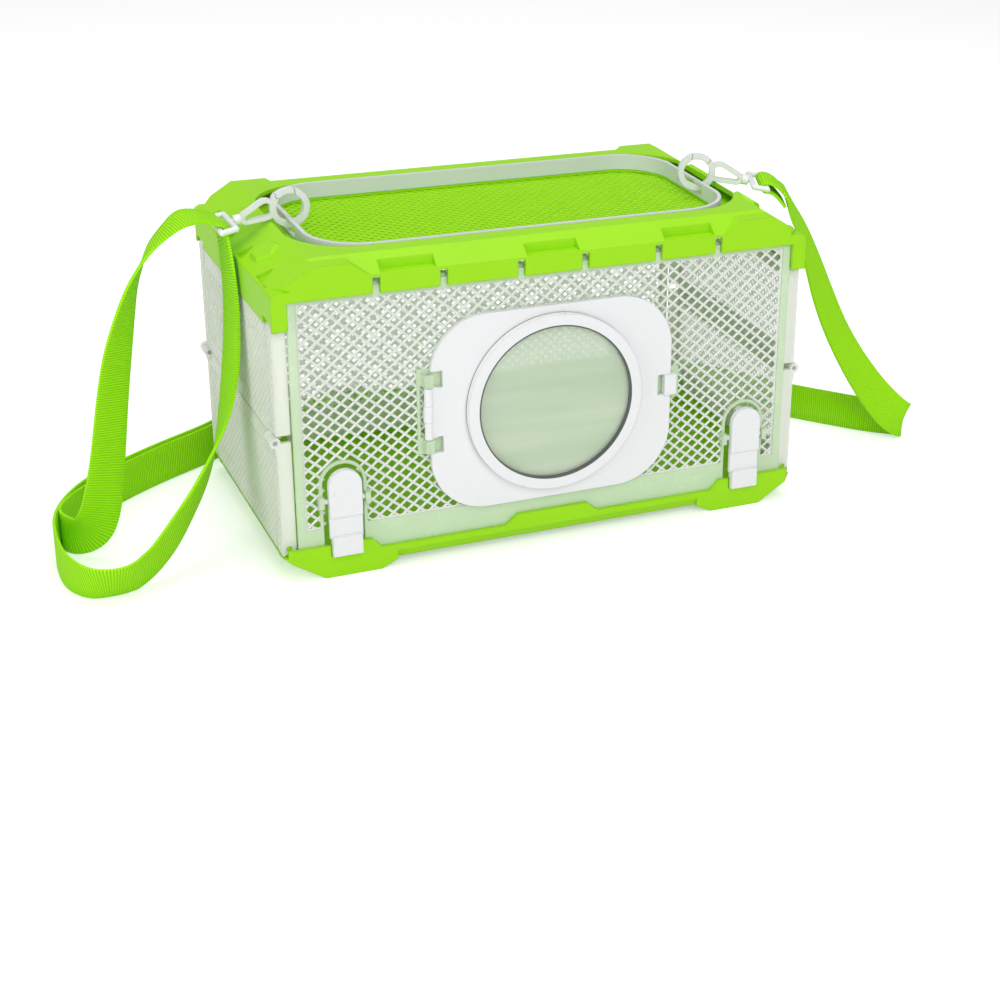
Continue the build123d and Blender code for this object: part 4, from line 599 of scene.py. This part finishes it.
# Roof net
# A stiff net of crossed strands, moulded in the same lime plastic as the shells and laid
# flat under the opening.
ROOF_CELL = (5.4 * MM, 5.4 * MM)
ROOF_STRAND = 1.7 * MM
ROOF_NET_SIZE = (208.0 * MM, 103.0 * MM)
ROOF_NET_Z = 144.6 * MM
roof_net = net_sheet("roof_net_strands", ROOF_NET_SIZE, (0, 0), ROOF_CELL, ROOF_STRAND, ROOF_STRAND)
hang(roof_net, Matrix.Identity(4), (0, 0, ROOF_NET_Z), "shell", "roof_mesh", lime)


# Round window
# A flat disc of clear acrylic held behind the door's ring. The ring is the door's gloss
# white, its deep inner wall carries a dark grey seal that grips the disc, and a thin
# line of painted shade runs round its outer foot, in the groove where it meets the door plate.
SEAL_RADIUS = 39.1 * MM
RING_SIDE_RADIUS = 44.1 * MM
# The painted shade line covers the ring's outer side from this depth back to the door plate.
FOOT_SHADE_Y = -73.2 * MM
RING_MIDDLE_Z = 74.0 * MM
# Grey of the seal, also used for the painted shade at the ring's foot.
SEAL_AND_SHADE_GREY = (0.10, 0.11, 0.10, 1)


def ring_with_seal_and_foot_shade(white):
    """A copy of the door's white with the grey seal and a painted shade line at the ring's foot."""
    material = white.copy()
    material.name = "gloss white ring with a grey seal and painted foot shade"
    tree = material.node_tree
    shader = tree.nodes["Principled BSDF"]
    place = node(tree, "ShaderNodeTexCoord")
    flat = node(tree, "ShaderNodeVectorMath", operation="MULTIPLY_ADD")
    flat.inputs[1].default_value = (1, 0, 1)
    flat.inputs[2].default_value = (0, 0, -RING_MIDDLE_Z)
    reach = node(tree, "ShaderNodeVectorMath", operation="LENGTH")
    tree.links.new(place.outputs["Object"], flat.inputs[0])
    tree.links.new(flat.outputs["Vector"], reach.inputs[0])
    inside = node(tree, "ShaderNodeMath", operation="LESS_THAN")
    inside.inputs[1].default_value = SEAL_RADIUS
    tree.links.new(reach.outputs["Value"], inside.inputs[0])
    aside = node(tree, "ShaderNodeMath", operation="GREATER_THAN")
    aside.inputs[1].default_value = RING_SIDE_RADIUS
    tree.links.new(reach.outputs["Value"], aside.inputs[0])
    parts = node(tree, "ShaderNodeSeparateXYZ")
    # Painted shade: the ring's outer side near the door plate is darkened, as shade in the groove.
    low = node(tree, "ShaderNodeMath", operation="GREATER_THAN")
    low.inputs[1].default_value = FOOT_SHADE_Y
    tree.links.new(place.outputs["Object"], parts.inputs[0])
    tree.links.new(parts.outputs["Y"], low.inputs[0])
    foot = node(tree, "ShaderNodeMath", operation="MULTIPLY")
    tree.links.new(aside.outputs[0], foot.inputs[0])
    tree.links.new(low.outputs[0], foot.inputs[1])
    dark = node(tree, "ShaderNodeMath", operation="MAXIMUM")
    tree.links.new(inside.outputs[0], dark.inputs[0])
    tree.links.new(foot.outputs[0], dark.inputs[1])
    seal_and_shade = node(tree, "ShaderNodeMix", data_type="RGBA")
    seal_and_shade.inputs["B"].default_value = SEAL_AND_SHADE_GREY
    tree.links.new(dark.outputs[0], seal_and_shade.inputs["Factor"])
    tree.links.new(shader.inputs["Base Color"].links[0].from_socket, seal_and_shade.inputs["A"])
    tree.links.new(seal_and_shade.outputs["Result"], shader.inputs["Base Color"])
    return material


def streaked_acrylic():
    """Clear glossy acrylic with soft, nearly level streaks of pale and darker green."""
    material, tree, shader = new_material("clear acrylic")
    place = node(tree, "ShaderNodeTexCoord")
    drawn = node(tree, "ShaderNodeMapping")
    drawn.inputs["Scale"].default_value = (4, 4, 55)
    drawn.inputs["Rotation"].default_value = (0, radians(4), 0)
    streaks = node(tree, "ShaderNodeTexNoise")
    streaks.inputs["Scale"].default_value = 1.6
    streaks.inputs["Detail"].default_value = 2
    tint = node(tree, "ShaderNodeMix", data_type="RGBA")
    tint.inputs["A"].default_value = (0.50, 0.66, 0.44, 1)
    tint.inputs["B"].default_value = (0.90, 0.97, 0.84, 1)
    tree.links.new(place.outputs["Object"], drawn.inputs["Vector"])
    tree.links.new(drawn.outputs["Vector"], streaks.inputs["Vector"])
    tree.links.new(streaks.outputs["Fac"], tint.inputs["Factor"])
    tree.links.new(tint.outputs["Result"], shader.inputs["Base Color"])
    shader.inputs["Roughness"].default_value = 0.04
    shader.inputs["Alpha"].default_value = 0.6
    shader.inputs["Coat Weight"].default_value = 0.5
    return material


dress(ring_with_seal_and_foot_shade(gloss_white), "door_bezel")
dress(streaked_acrylic(), "door_lens")
